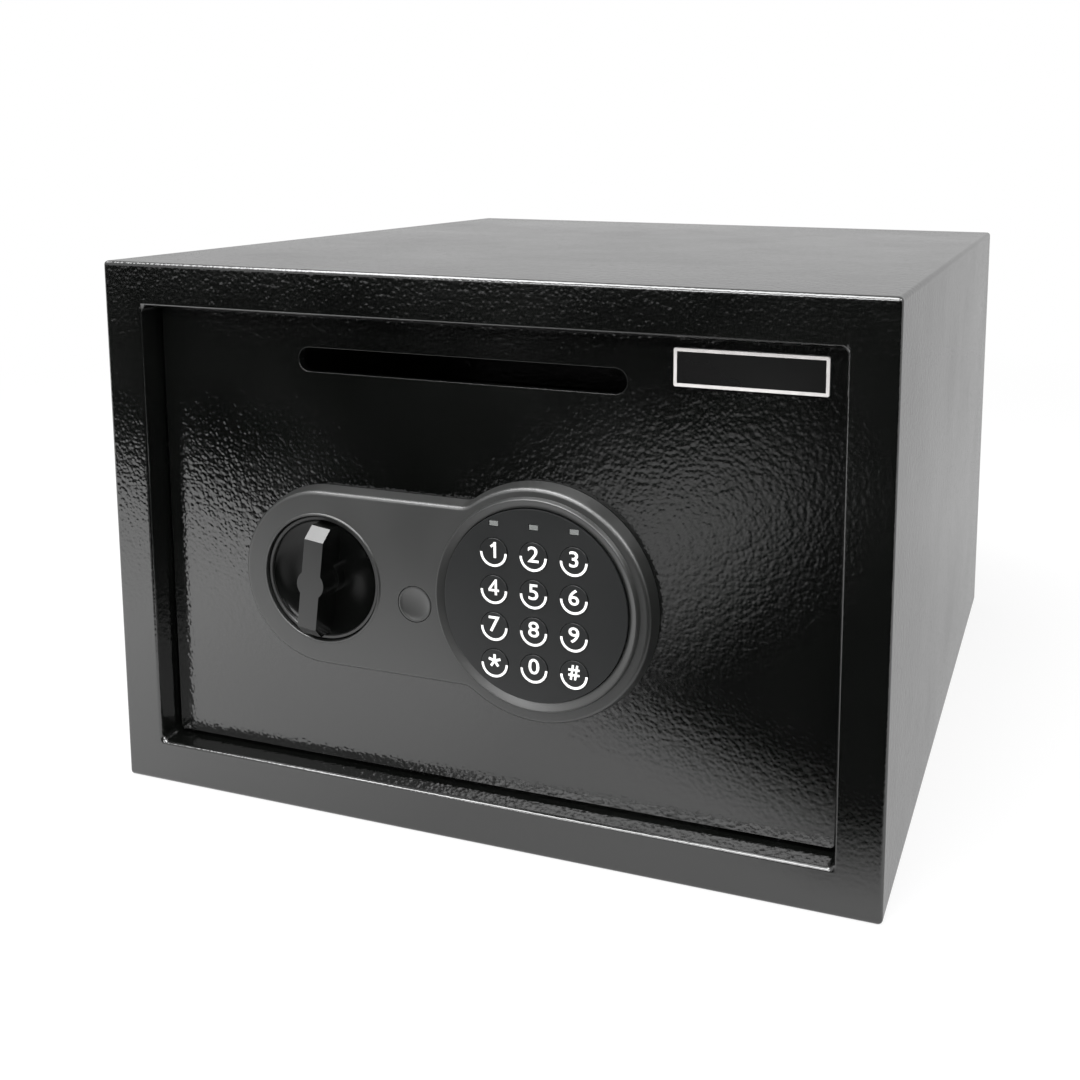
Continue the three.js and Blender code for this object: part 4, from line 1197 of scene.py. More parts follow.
@dataclass
class LockHousing:
    """The moulded housing with its round knob end, its neck and its round keypad end."""

    knob_radius: float = 41.5 * MM
    keypad_radius: float = 53 * MM
    neck_fillet: float = 8 * MM
    draft: float = 1.2 * MM
    shoulder: float = 2 * MM
    shoulder_steps: int = 5
    wall: float = 2.5 * MM
    face: float = DOOR_FRONT - 8 * MM
    bezel_top: float = DOOR_FRONT - 10 * MM
    back: float = DOOR_FRONT - 0.3 * MM
    knob_hole: float = 29 * MM
    keypad_hole: float = 42.6 * MM
    cover_hole: float = 8.3 * MM

    def __post_init__(self) -> None:
        """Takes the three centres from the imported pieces."""
        nodes = ("knob", "keypad_face", "key_cover")
        self.knob_centre, self.keypad_centre, self.cover_centre = (reach(node)[2] for node in nodes)

    def build(self) -> None:
        """Builds and dresses the housing."""
        carry(self.moulding(), "door", "lock_housing", HOUSING)

    def outline(self) -> Piece:
        """Draws the housing's outline at its back edge, as one face.

        Returns:
            The face.
        """
        knob_x, level, keypad_x = self.knob_centre.x, self.knob_centre.z, self.keypad_centre.x
        rise = self.knob_radius + self.neck_fillet
        fillet_x = keypad_x - math.sqrt((self.keypad_radius + self.neck_fillet) ** 2 - rise**2)
        lean = math.atan2(rise, keypad_x - fillet_x)
        bottom, near = level - self.knob_radius + 0.01 * MM, 0.1 * MM
        bpy.ops.mesh.primitive_circle_add(
            vertices=96,
            radius=self.knob_radius,
            location=(knob_x, self.back, level),
            rotation=(math.pi / 2, 0, 0),
        )
        piece = settle(bpy.context.object)
        piece.name = "lock_cover"
        with editing(piece):
            pick(piece, Part.POINT, lambda corner: corner.co.x > knob_x + near)
            bpy.ops.mesh.delete(type="VERT")
            pick(
                piece,
                Part.POINT,
                lambda corner: corner.co.z < bottom and corner.co.x > knob_x - near,
            )
            self.draw_line(fillet_x - knob_x)
            self.sweep(fillet_x, level - rise, lean - math.pi / 2, 8)
            self.sweep(keypad_x, level, 2 * math.pi - 2 * lean, 72)
            self.sweep(fillet_x, level + rise, lean - math.pi / 2, 8)
            self.draw_line(knob_x - fillet_x)
            bpy.ops.mesh.select_all(action="SELECT")
            bpy.ops.mesh.remove_doubles(threshold=0.02 * MM)
            bpy.ops.mesh.edge_face_add()
            pick(piece, Part.FACE, lambda face: face.normal.y > 0)
            bpy.ops.mesh.flip_normals()
        return piece

    def draw_line(self, length: float) -> None:
        """Draws a line along X on from the selected point."""
        bpy.ops.mesh.extrude_vertices_move(TRANSFORM_OT_translate={"value": (length, 0, 0)})

    def sweep(self, x: float, z: float, angle: float, steps: int) -> None:
        """Draws an arc on from the selected point.

        Args:
            x: The arc's centre.
            z: The arc's centre.
            angle: How far it goes, counterclockwise as seen from the front.
            steps: How many edges make it.
        """
        bpy.ops.mesh.spin(steps=steps, angle=angle, center=(x, self.back, z), axis=(0, 1, 0))

    def moulding(self) -> Piece:
        """Raises the outline into a shell and adds the bezel, the knob's rim and the openings.

        Returns:
            The lock housing.
        """
        piece = self.outline()
        with editing(piece):
            pick(piece, Part.FACE, lambda face: True)
            bpy.ops.mesh.inset(thickness=self.draft, depth=self.back - self.face - self.shoulder)
            quarter = math.pi / 2 / self.shoulder_steps
            turns = [step * quarter for step in range(self.shoulder_steps + 1)]
            for start, end in pairwise(turns):
                bpy.ops.mesh.inset(
                    thickness=self.shoulder * (math.cos(start) - math.cos(end)),
                    depth=self.shoulder * (math.sin(end) - math.sin(start)),
                )
        modify(piece, "SOLIDIFY", thickness=self.wall, offset=-1)
        self.bore(piece, self.knob_centre, self.knob_hole + 0.6 * MM)
        self.bore(piece, self.keypad_centre, self.keypad_hole + 1.2 * MM)
        combine(piece, self.bezel(), Combine.JOIN)
        combine(piece, self.knob_rim(), Combine.JOIN)
        self.bore(piece, self.cover_centre, self.cover_hole)
        return smooth(piece, 30)

    def bore(self, piece: Piece, centre: Vector, radius: float) -> None:
        """Bores a round opening through the housing.

        Args:
            piece: The housing.
            centre: A point on the opening's axis.
            radius: The opening's radius.
        """
        place = (centre.x, self.bezel_top - 2 * MM, centre.z)
        combine(piece, turned("bore_tool", rod(radius, 0, 14 * MM), place, Way.Y, 128), Combine.CUT)

    def ring(self, name: str, inner: float, centre: Vector, front: Sequence[Pair]) -> Piece:
        """Turns a ring that stands on the housing's back edge.

        Args:
            name: The ring's name.
            inner: Its inner radius.
            centre: A point on its axis.
            front: Its front, from the inner edge to where it meets the rear, as millimetres beyond
                the inner radius and behind the housing's face.

        Returns:
            The ring.
        """
        profile = [(inner + out, self.face + down) for out, down in mm(*front)]
        profile += [(inner, self.back - 0.1 * MM), profile[0]]
        return turned(name, profile, (centre.x, 0, centre.z), Way.Y, 128)

    def bezel(self) -> Piece:
        """Turns the raised ring round the keypad, whose face slopes inwards to the keypad.

        Returns:
            The ring.
        """
        slope = ((0, -0.4), (0.1, -0.5), (3.05, -1.9))
        crest = ((3.3, -1.98), (3.5, -2), (3.75, -1.92), (3.95, -1.7))
        rear = (self.back - self.face) / MM - 0.1
        foot = ((4.5, -0.1), (4.6, 0.05), (4.6, 1), (2, 1.2), (2, rear))
        front = (*slope, *crest, *foot)
        return self.ring("bezel_ring", self.keypad_hole, self.keypad_centre, front)

    def knob_rim(self) -> Piece:
        """Turns the thin lip round the knob's recess.

        Returns:
            The ring.
        """
        rear = (self.back - self.face) / MM - 0.1
        lip = ((0, -0.3), (0.2, -0.5), (0.55, -0.5), (0.8, -0.4), (1.2, -0.05))
        front = (*lip, (1.3, 0.8), (1.5, rear))
        return self.ring("knob_rim", self.knob_hole, self.knob_centre, front)


# The keypad


@dataclass(frozen=True)
class Stroke:
    """One straight stroke of a sign, in millimetres from the sign's middle."""

    x: float
    z: float
    length: float
    width: float
    rise: float


STAR_ARM = 1.45
STROKES = {
    "1": (Stroke(0.65, 0, 6.9, 1.15, 90), Stroke(-0.2, 2.15, 2.7, 1.0, 38)),
    "4": (
        Stroke(0.95, 0, 6.9, 1.05, 90),
        Stroke(-0.05, -1.4, 4.9, 1.0, 0),
        Stroke(-0.62, 1.0, 5.1, 0.95, 54),
    ),
    "star": tuple(
        Stroke(
            STAR_ARM * math.cos(math.radians(rise)),
            STAR_ARM * math.sin(math.radians(rise)),
            2 * STAR_ARM,
            1.15,
            rise,
        )
        for rise in (90, 162, 234, 306, 18)
    ),
    "hash": (
        Stroke(-0.95, 0, 6.6, 0.95, 81),
        Stroke(1.0, 0, 6.6, 0.95, 81),
        Stroke(0, 1.15, 5.1, 0.95, 0),
        Stroke(0, -1.15, 5.1, 0.95, 0),
    ),
}


@dataclass
class Keypad:
    """The round keypad: its face, twelve keys, three lenses, and the board and cable behind."""

    face_radius: float = 42.3 * MM
    hole_radius: float = 6.6 * MM
    key_radius: float = 6.3 * MM
    flange_thickness: float = 1.5 * MM
    lens_room: float = 0.3 * MM
    arc_outer: float = 6.22 * MM
    arc_inner: float = 5.17 * MM
    print_thickness: float = 0.06 * MM
    digit_height: float = 6.9 * MM
    digit_stretch: float = 1.14
    digit_rise: float = 1.2 * MM
    boldness: float = 0.009

    def build(self) -> None:
        """Builds and dresses the keypad."""
        carry(self.face(), "door", "keypad_face", FACE)
        carry_copies(self.lens(), "door", "indicator_lens", (1, 2, 3), LENS)
        carry_packed("keypad_board", "door", 0, BOARD)
        carry_packed("keypad_cable", "door", 0.3 * MM, CABLE)
        caps, arcs = (copies(make(), "key", KEYS) for make in (self.blank_key, self.arc))
        for name in KEYS:
            key = self.printed(caps[name], arcs[name], name)
            carry(key, f"key_{name}", f"key_{name}", CAP, PRINT)

    def lens(self) -> Piece:
        """Moulds the first indicator's lens.

        Returns:
            The lens.
        """
        low, high, _ = reach("indicator_lens_1")
        piece = rounded_block("lens", low, high, 0.2 * MM, 1)
        soften(piece, 0.12 * MM, 2, 60)
        return smooth(piece)

    def face(self) -> Piece:
        """Moulds the keypad's face with its key holes and lens windows.

        Returns:
            The face.
        """
        low, high, middle = reach("keypad_face")
        radius, thickness = self.face_radius, high.y - low.y
        rim = [(radius - 0.35 * MM, 0), (radius - 0.1 * MM, 0.1 * MM), (radius, 0.35 * MM)]
        profile = [(0, 0), *rim, (radius, thickness), (0, thickness)]
        piece = turned("keypad_panel", profile, (middle.x, low.y, middle.z), Way.Y, 128)
        tools = []
        for name in KEYS:
            centre = reach(f"key_{name}")[2]
            place = (centre.x, low.y - MM, centre.z)
            tools.append(turned("key_hole", rod(self.hole_radius, 0, 6 * MM), place, Way.Y, 48))
        for number in (1, 2, 3):
            start, end, _ = reach(f"indicator_lens_{number}")
            room = Vector((self.lens_room, 0, self.lens_room))
            window = (start - room, end + room)
            window[0].y, window[1].y = low.y - MM, high.y + MM
            tools.append(rounded_block("lens_hole", *window, 0.3 * MM, 1))
        combine(piece, join_meshes(*tools), Combine.CUT)
        soften(piece, 0.12 * MM, 2, 60)
        return smooth(piece)

    def blank_key(self) -> Piece:
        """Moulds the first key, without its print.

        Returns:
            The key.
        """
        low, high, middle = reach(f"key_{KEYS[0]}")
        radius, wide, depth = self.key_radius, (high.x - low.x) / 2, high.y - low.y
        flange = depth - self.flange_thickness
        top = [(0, 0), (radius - 0.08 * MM, 0), (radius, 0.08 * MM), (radius, flange)]
        foot = [(wide - 0.2 * MM, flange), (wide, flange + 0.2 * MM), (wide, depth), (0, depth)]
        return turned("cap", top + foot, (middle.x, low.y, middle.z), Way.Y, 64)

    def printed(self, cap: Piece, arc: Piece, name: str) -> Piece:
        """Prints a key's sign and its arc.

        Args:
            cap: The key.
            arc: Its arc.
            name: The key's name, a digit, star or hash.

        Returns:
            The key, its print with the second finish.
        """
        low, _, middle = reach(f"key_{name}")
        draw = self.drawn_sign if name in STROKES else self.numeral
        sign = draw(name, Vector((middle.x, low.y, middle.z + self.digit_rise)))
        bare = len(cap.data.polygons)
        join_meshes(cap, sign, arc)
        for face in cap.data.polygons[bare:]:
            face.material_index = 1
        return smooth(cap)

    def numeral(self, name: str, place: Vector) -> Piece:
        """Prints a numeral on a key as a thin raised layer.

        Args:
            name: The numeral.
            place: Its middle, on the key's front face.

        Returns:
            The numeral.
        """
        bpy.ops.object.text_add()
        letter = bpy.context.object
        letter.data.body = name
        letter.data.offset = self.boldness
        letter.data.resolution_u = 4
        letter.data.extrude = 0.5
        pick_only(letter)
        bpy.ops.object.convert(target="MESH")
        piece = bpy.context.object
        bpy.ops.object.origin_set(type="ORIGIN_GEOMETRY", center="BOUNDS")
        share = self.digit_height / piece.dimensions.y
        piece.scale = (share * self.digit_stretch, share, self.print_thickness * 2)
        piece.rotation_euler = (math.pi / 2, 0, 0)
        piece.location = place
        settle(piece)
        with editing(piece):
            tidy_mesh()
        return piece

    def drawn_sign(self, name: str, place: Vector) -> Piece:
        """Prints a sign made of straight strokes on a key as a thin raised layer.

        Args:
            name: The sign's name among the strokes.
            place: Its middle, on the key's front face.

        Returns:
            The sign.
        """
        drawn = []
        for stroke in STROKES[name]:
            middle = place + Vector((stroke.x, 0, stroke.z)) * MM
            half = Vector((stroke.length * MM / 2, self.print_thickness, stroke.width * MM / 2))
            strip = add_block("stroke", middle - half, middle + half)
            turn_about(strip, -stroke.rise, middle)
            drawn.append(strip)
        piece, *rest = drawn
        for strip in rest:
            combine(piece, strip, Combine.JOIN)
        return piece

    def arc(self) -> Piece:
        """Prints the half ring that frames the lower half of the first key.

        Returns:
            The half ring.
        """
        low, _, middle = reach(f"key_{KEYS[0]}")
        front = (middle.x, low.y - self.print_thickness, middle.z)
        bpy.ops.mesh.primitive_circle_add(
            vertices=64, radius=self.arc_inner, location=front, rotation=(math.pi / 2, 0, 0)
        )
        piece = settle(bpy.context.object)
        with editing(piece):
            pick(piece, Part.POINT, lambda corner: corner.co.z > middle.z + 0.01 * MM)
            bpy.ops.mesh.delete(type="VERT")
            bpy.ops.mesh.select_all(action="SELECT")
            draw_edges(0, 0, 0)
            share = self.arc_outer / self.arc_inner
            bpy.ops.transform.resize(value=(share, 1, share), center_override=front)
            bpy.ops.mesh.select_all(action="SELECT")
            draw_out(0, 2 * self.print_thickness, 0)
            tidy_mesh()
        return piece


# The knob


@dataclass
class Knob:
    """The dished knob with its grip, and the spindle that it turns."""

    tilt: float = 7.2
    rim_radius: float = 28.4 * MM
    rim_width: float = 1.6 * MM
    rim_drop: float = 1 * MM
    floor_radius: float = 14 * MM
    dish_wall: float = 1.7 * MM
    back_gap: float = 0.8 * MM
    socket_radius: float = 5.3 * MM
    socket_depth: float = 5 * MM
    hub_radius: float = 8.5 * MM
    hub_room: float = 0.3 * MM
    grip_width: float = 9.4 * MM
    grip_length: float = 51 * MM
    grip_bevel: float = 5 * MM
    boss_radius: float = 6.7 * MM
    edge: float = 0.45 * MM
    bowl_steps: int = 16

    def build(self) -> None:
        """Builds and dresses the knob and its spindle."""
        carry(self.dial(), "knob", "knob", KNOB, DISH_PAINTED_SHADE)
        carry_packed("knob_spindle", "knob", 0.3 * MM, ZINC)

    def dial(self) -> Piece:
        """Turns the dish and raises the tilted grip across it.

        Returns:
            The knob, its dish with the second finish: smoother, and darker than the knob as painted
            shade in the recess.
        """
        low, _, middle = reach("knob")
        back, wall = DOOR_FRONT - self.back_gap, self.dish_wall
        floor, rim = back - wall, DOOR_FRONT - 8 * MM + self.rim_drop
        outer, inner, bottom = self.rim_radius, self.rim_radius - self.rim_width, self.floor_radius
        turns = [step * math.pi / 2 / self.bowl_steps for step in range(self.bowl_steps)]
        sweep, depth = inner - bottom, floor - rim
        bowl = [(bottom + sweep * math.sin(turn), rim + depth * math.cos(turn)) for turn in turns]
        socket = back - self.socket_depth
        profile = [
            (0, floor),
            *bowl,
            (inner, rim + 0.25 * MM),
            (inner + 0.25 * MM, rim),
            (outer - 0.3 * MM, rim),
            (outer, rim + 0.3 * MM),
            (outer, rim + wall),
            (bottom + sweep * 0.75, back - 1.5 * MM),
            (bottom + wall, back),
            (self.socket_radius, back),
            (self.socket_radius, socket),
            (0, socket),
        ]
        piece = turned("turning_knob", profile, (middle.x, 0, middle.z), Way.Y, 128)
        combine(piece, self.hub(middle, socket - wall, floor + 0.4 * MM), Combine.JOIN)
        combine(piece, self.grip(middle, low.y, floor + 0.5 * MM), Combine.JOIN)
        soften(piece, self.edge, 4, 40)
        slope_end, side_start = low.y + self.grip_bevel + 0.2 * MM, low.y + 0.6 * MM
        # The dish and the grip's sides deep in it take the darker finish: painted shade in the
        # recess.
        paint(
            piece,
            1,
            lambda place, normal: off_axis(place, middle, Way.Y) < inner - 0.2 * MM
            and (place.y > slope_end or (abs(normal.y) < 0.3 and place.y > side_start)),
        )
        return smooth(piece, 40)

    def hub(self, middle: Vector, front: float, back: float) -> Piece:
        """Turns the thick middle that takes the spindle.

        Args:
            middle: The knob's middle.
            front: Where the hub starts.
            back: Where it ends.

        Returns:
            The hub.
        """
        inner, floor = self.socket_radius + self.hub_room, front + MM
        outside = rod(self.hub_radius, front, back)[:-1]
        profile = [*outside, (inner, back), (inner, floor), (0, floor)]
        return turned("knob_hub", profile, (middle.x, 0, middle.z), Way.Y, 64)

    def grip(self, middle: Vector, top: float, foot: float) -> Piece:
        """Raises the grip bar with its sloped ends and its round boss.

        Args:
            middle: The knob's middle.
            top: The place of the grip's front face.
            foot: Where the grip enters the dish.

        Returns:
            The grip, turned by the knob's tilt.
        """
        half_width, half_length = self.grip_width / 2, self.grip_length / 2
        bar = add_block(
            "grip_bar",
            (middle.x - half_width, top, middle.z - half_length),
            (middle.x + half_width, foot, middle.z + half_length),
        )
        with editing(bar):
            pick(
                bar,
                Part.EDGE,
                lambda edge: runs_along(edge, 0) and middle_of(edge).y < top + 0.1 * MM,
            )
            round_edges(self.grip_bevel, 1)
        profile = rod(self.boss_radius, top, foot)
        boss = turned("grip_boss", profile, (middle.x, 0, middle.z), Way.Y, 72)
        combine(bar, boss, Combine.JOIN)
        turn_about(bar, self.tilt, middle)
        return bar


# The emergency lock


@dataclass
class EmergencyLock:
    """The key lock under its round cover."""

    cover_profile: tuple[Pair, ...] = (
        (0, 0.9), (2.5, 0.86), (4.5, 0.72), (6, 0.45), (6.8, 0.2), (7.1, 0.03), (7.3, 0), (7.7, 0),
        (7.92, 0.08), (8, 0.3), (8, 2.2), (7.7, 2.5), (0, 2.5),
    )

    def build(self) -> None:
        """Builds and dresses the cover, the cylinder and its plug."""
        carry(self.cover(), "key_cover", "key_cover", HOUSING)
        carry_packed("override_cylinder", "door", 0.3 * MM, ZINC)
        carry_packed("override_plug", "emergency_plug", 0.2 * MM, BRASS)

    def cover(self) -> Piece:
        """Moulds the dished cover with its thin rim.

        Returns:
            The cover.
        """
        low, _, middle = reach("key_cover")
        place = (middle.x, low.y, middle.z)
        return smooth(turned("lock_cap", mm(*self.cover_profile), place, Way.Y, 96))


# The bolt work and what is behind the door


@dataclass
class BoltWork:
    """The bolts, their carrier and guide, and the solenoid that blocks them."""

    edge: float = 0.3 * MM
    bolt_nose: float = 1.5 * MM
    coil_bore: float = 3.3 * MM
    cheek: float = 1.2 * MM
    groove_depth: float = 0.6 * MM

    def build(self) -> None:
        """Builds and dresses the bolt work."""
        carry_packed("bolt_carrier", "bolts", self.edge, ZINC)
        carry_copies(self.bolt(), "bolts", "locking_bolt", ("lower", "upper"), STEEL)
        carry_packed("bolt_guide", "door", self.edge, ZINC)
        carry_packed("solenoid_frame", "door", self.edge, ZINC)
        carry(self.coil(), "door", "solenoid_coil", TAPE, COVER)
        carry(self.plunger(), "plunger", "solenoid_plunger", STEEL)

    def bolt(self) -> Piece:
        """Turns the lower bolt with its rounded nose and its chamfered heel.

        Returns:
            The bolt.
        """
        low, high, middle = reach("locking_bolt_lower")
        radius, nose, heel = (high.z - low.z) / 2, self.bolt_nose, 0.5 * MM
        turns = [step * math.pi / 12 for step in range(7)]
        rounded = [
            (radius - nose + nose * math.sin(turn), low.x + nose - nose * math.cos(turn))
            for turn in turns
        ]
        shank = [(radius, high.x - heel), (radius - heel, high.x), (0, high.x)]
        profile = [(0, low.x), *rounded, *shank]
        return smooth(turned("bolt", profile, (0, middle.y, middle.z), Way.X, 64))

    def coil(self) -> Piece:
        """Winds the coil: taped winding between two bobbin cheeks.

        Returns:
            The coil, its cheeks as the second finish.
        """
        low, high, middle = reach("solenoid_coil")
        radius, cheek, soft = (high.x - low.x) / 2, self.cheek, 0.1 * MM
        half = [
            (self.coil_bore, 0),
            (radius - 2 * soft, 0),
            (radius, 2 * soft),
            (radius, cheek - soft),
            (radius - soft, cheek),
            (radius - 0.7 * MM, cheek),
        ]
        lower = [(across, low.z + along) for across, along in half]
        upper = [(across, high.z - along) for across, along in reversed(half)]
        profile = [*lower, *upper, lower[0]]
        piece = turned("taped_coil", profile, (middle.x, middle.y, 0), Way.Z, 64)
        paint(piece, 1, lambda place, normal: not low.z + cheek < place.z < high.z - cheek)
        return smooth(piece)

    def plunger(self) -> Piece:
        """Turns the plunger with its rounded ends and the groove for its clip.

        Returns:
            The plunger.
        """
        low, high, middle = reach("solenoid_plunger")
        radius, end = (high.x - low.x) / 2, high.z - low.z
        groove, neck = end - 2.2 * MM, radius - self.groove_depth
        nose = [(0, 0), (radius - 0.7 * MM, 0), (radius - 0.2 * MM, 0.2 * MM), (radius, 0.7 * MM)]
        start = groove - 0.8 * MM
        clip = [(radius, start), (neck, start), (neck, groove), (radius, groove)]
        tail = [(radius, end - 0.4 * MM), (radius - 0.4 * MM, end), (0, end)]
        place = (middle.x, middle.y, low.z)
        return smooth(turned("lock_plunger", nose + clip + tail, place, Way.Z, 48))


@dataclass
class InnerCase:
    """The cover inside the door, with the board, the battery holder and the reset button."""

    edge: float = 0.5 * MM
    slot_half: float = 0.42 * MM
    slot_reach: float = 1.9 * MM
    slot_depth: float = 1.1 * MM
    band_place: float = 13 * MM
    band_half: float = 0.5 * MM
    bare_edge: float = 1.35 * MM

    def build(self) -> None:
        """Builds and dresses the case and what it holds."""
        carry_packed("inner_case", "door", self.edge, COVER)
        for number in range(1, 5):
            carry(self.screw(number), "door", f"case_screw_{number}", ZINC)
        carry_packed("circuit_board", "door", 0.2 * MM, BOARD)
        carry_packed("battery_holder", "door", self.edge, COVER)
        cells = {}
        for first in (1, 2):
            cells |= copies(self.cell(first), "battery_cell", (first, first + 2))
        for number, cell in sorted(cells.items()):
            carry(cell, "door", f"battery_cell_{number}", JACKET, ZINC, BAND)
        carry_packed("battery_cover", "battery_cover", 0.4 * MM, COVER)
        carry(self.button(), "reset_button", "reset_button", RED)

    def screw(self, number: int) -> Piece:
        """Turns one case screw with its rounded head and cuts its cross recess.

        Args:
            number: 1 to 4.

        Returns:
            The screw.
        """
        low, high, middle = reach(f"case_screw_{number}")
        under = high.y - 2 * MM
        shank = mm((0, 0), (1.5, 0), (2, 0.5))
        rim = mm((2, 0), (3.45, 0), (3.6, 0.15), (3.6, 0.7), (3.35, 1.25))
        crown = mm((2.85, 1.65), (2.1, 1.9), (1.2, 2), (0, 2))
        profile = [(across, low.y + along) for across, along in shank]
        profile += [(across, under + along) for across, along in (*rim, *crown)]
        place = (middle.x, 0, middle.z)
        piece = turned(f"pan_screw_{number}", profile, place, Way.Y, 48)
        slot = (self.slot_half, self.slot_reach)
        for half_x, half_z in (slot, slot[::-1]):
            lowest = (middle.x - half_x, high.y - self.slot_depth, middle.z - half_z)
            highest = (middle.x + half_x, high.y + MM, middle.z + half_z)
            combine(piece, add_block("recess_tool", lowest, highest), Combine.CUT)
        return smooth(piece, 30)

    def cell(self, number: int) -> Piece:
        """Builds one cell: its film jacket, bare ends and contact button.

        Args:
            number: 1, or 2 for a cell that lies the other way.

        Returns:
            The cell, its bare metal and its band as the second and third finish.
        """
        low, high, middle = reach(f"battery_cell_{number}")
        radius, length = (high.z - low.z) / 2, high.x - low.x
        shoulder = length - 1.2 * MM
        rear = ((-1.5, 0.3), (-1.35, 0.05), (-1.2, 0), (-0.5, 0), (-0.15, 0.12), (0, 0.5))
        front = ((0, -0.6), (-0.2, -0.15), (-0.6, 0), (-1.4, 0), (-1.6, -0.2))
        profile = [
            (0, 0.3 * MM),
            *((radius + out, along) for out, along in mm(*rear)),
            (radius, length - self.band_place - MM),
            (radius, length - self.band_place + MM),
            *((radius + out, shoulder + along) for out, along in mm(*front)),
            (3.3 * MM, shoulder - 0.2 * MM),
            (2.9 * MM, shoulder + 0.1 * MM),
            (2.75 * MM, length - 0.3 * MM),
            (2.5 * MM, length),
            (0, length),
        ]
        band = low.x + length - self.band_place
        if number == 2:
            profile = [(width, length - place) for width, place in reversed(profile)]
            band = low.x + self.band_place
        place = (low.x, middle.y, middle.z)
        piece = turned("cell", profile, place, Way.X, 64)
        bare, film = radius - self.bare_edge, radius - 0.3 * MM
        paint(piece, 1, lambda place, normal: off_axis(place, middle, Way.X) < bare)
        paint(
            piece,
            2,
            lambda place, normal: abs(place.x - band) < self.band_half
            and off_axis(place, middle, Way.X) > film,
        )
        return smooth(piece)

    def button(self) -> Piece:
        """Turns the reset button with its flange and its shallow finger dish.

        Returns:
            The button.
        """
        low, high, middle = reach("reset_button")
        flange = (high.x - low.x) / 2
        radius, end, neck, soft = flange - MM, low.y - high.y, -4.3 * MM, 0.2 * MM
        foot = [(0, end), (flange - soft, end), (flange, end + soft), (flange, neck - soft)]
        step = [(flange - soft, neck), (radius, neck)]
        top = ((0, -0.7), (-0.2, -0.2), (-0.7, 0), (-1.3, -0.08), (-2.5, -0.3))
        crown = [(radius + out, along) for out, along in mm(*top)]
        profile = [*foot, *step, *crown, (0, -0.38 * MM)]
        return smooth(turned("reset_cap", profile, (middle.x, high.y, middle.z), Way.Y, 48))


# The studio


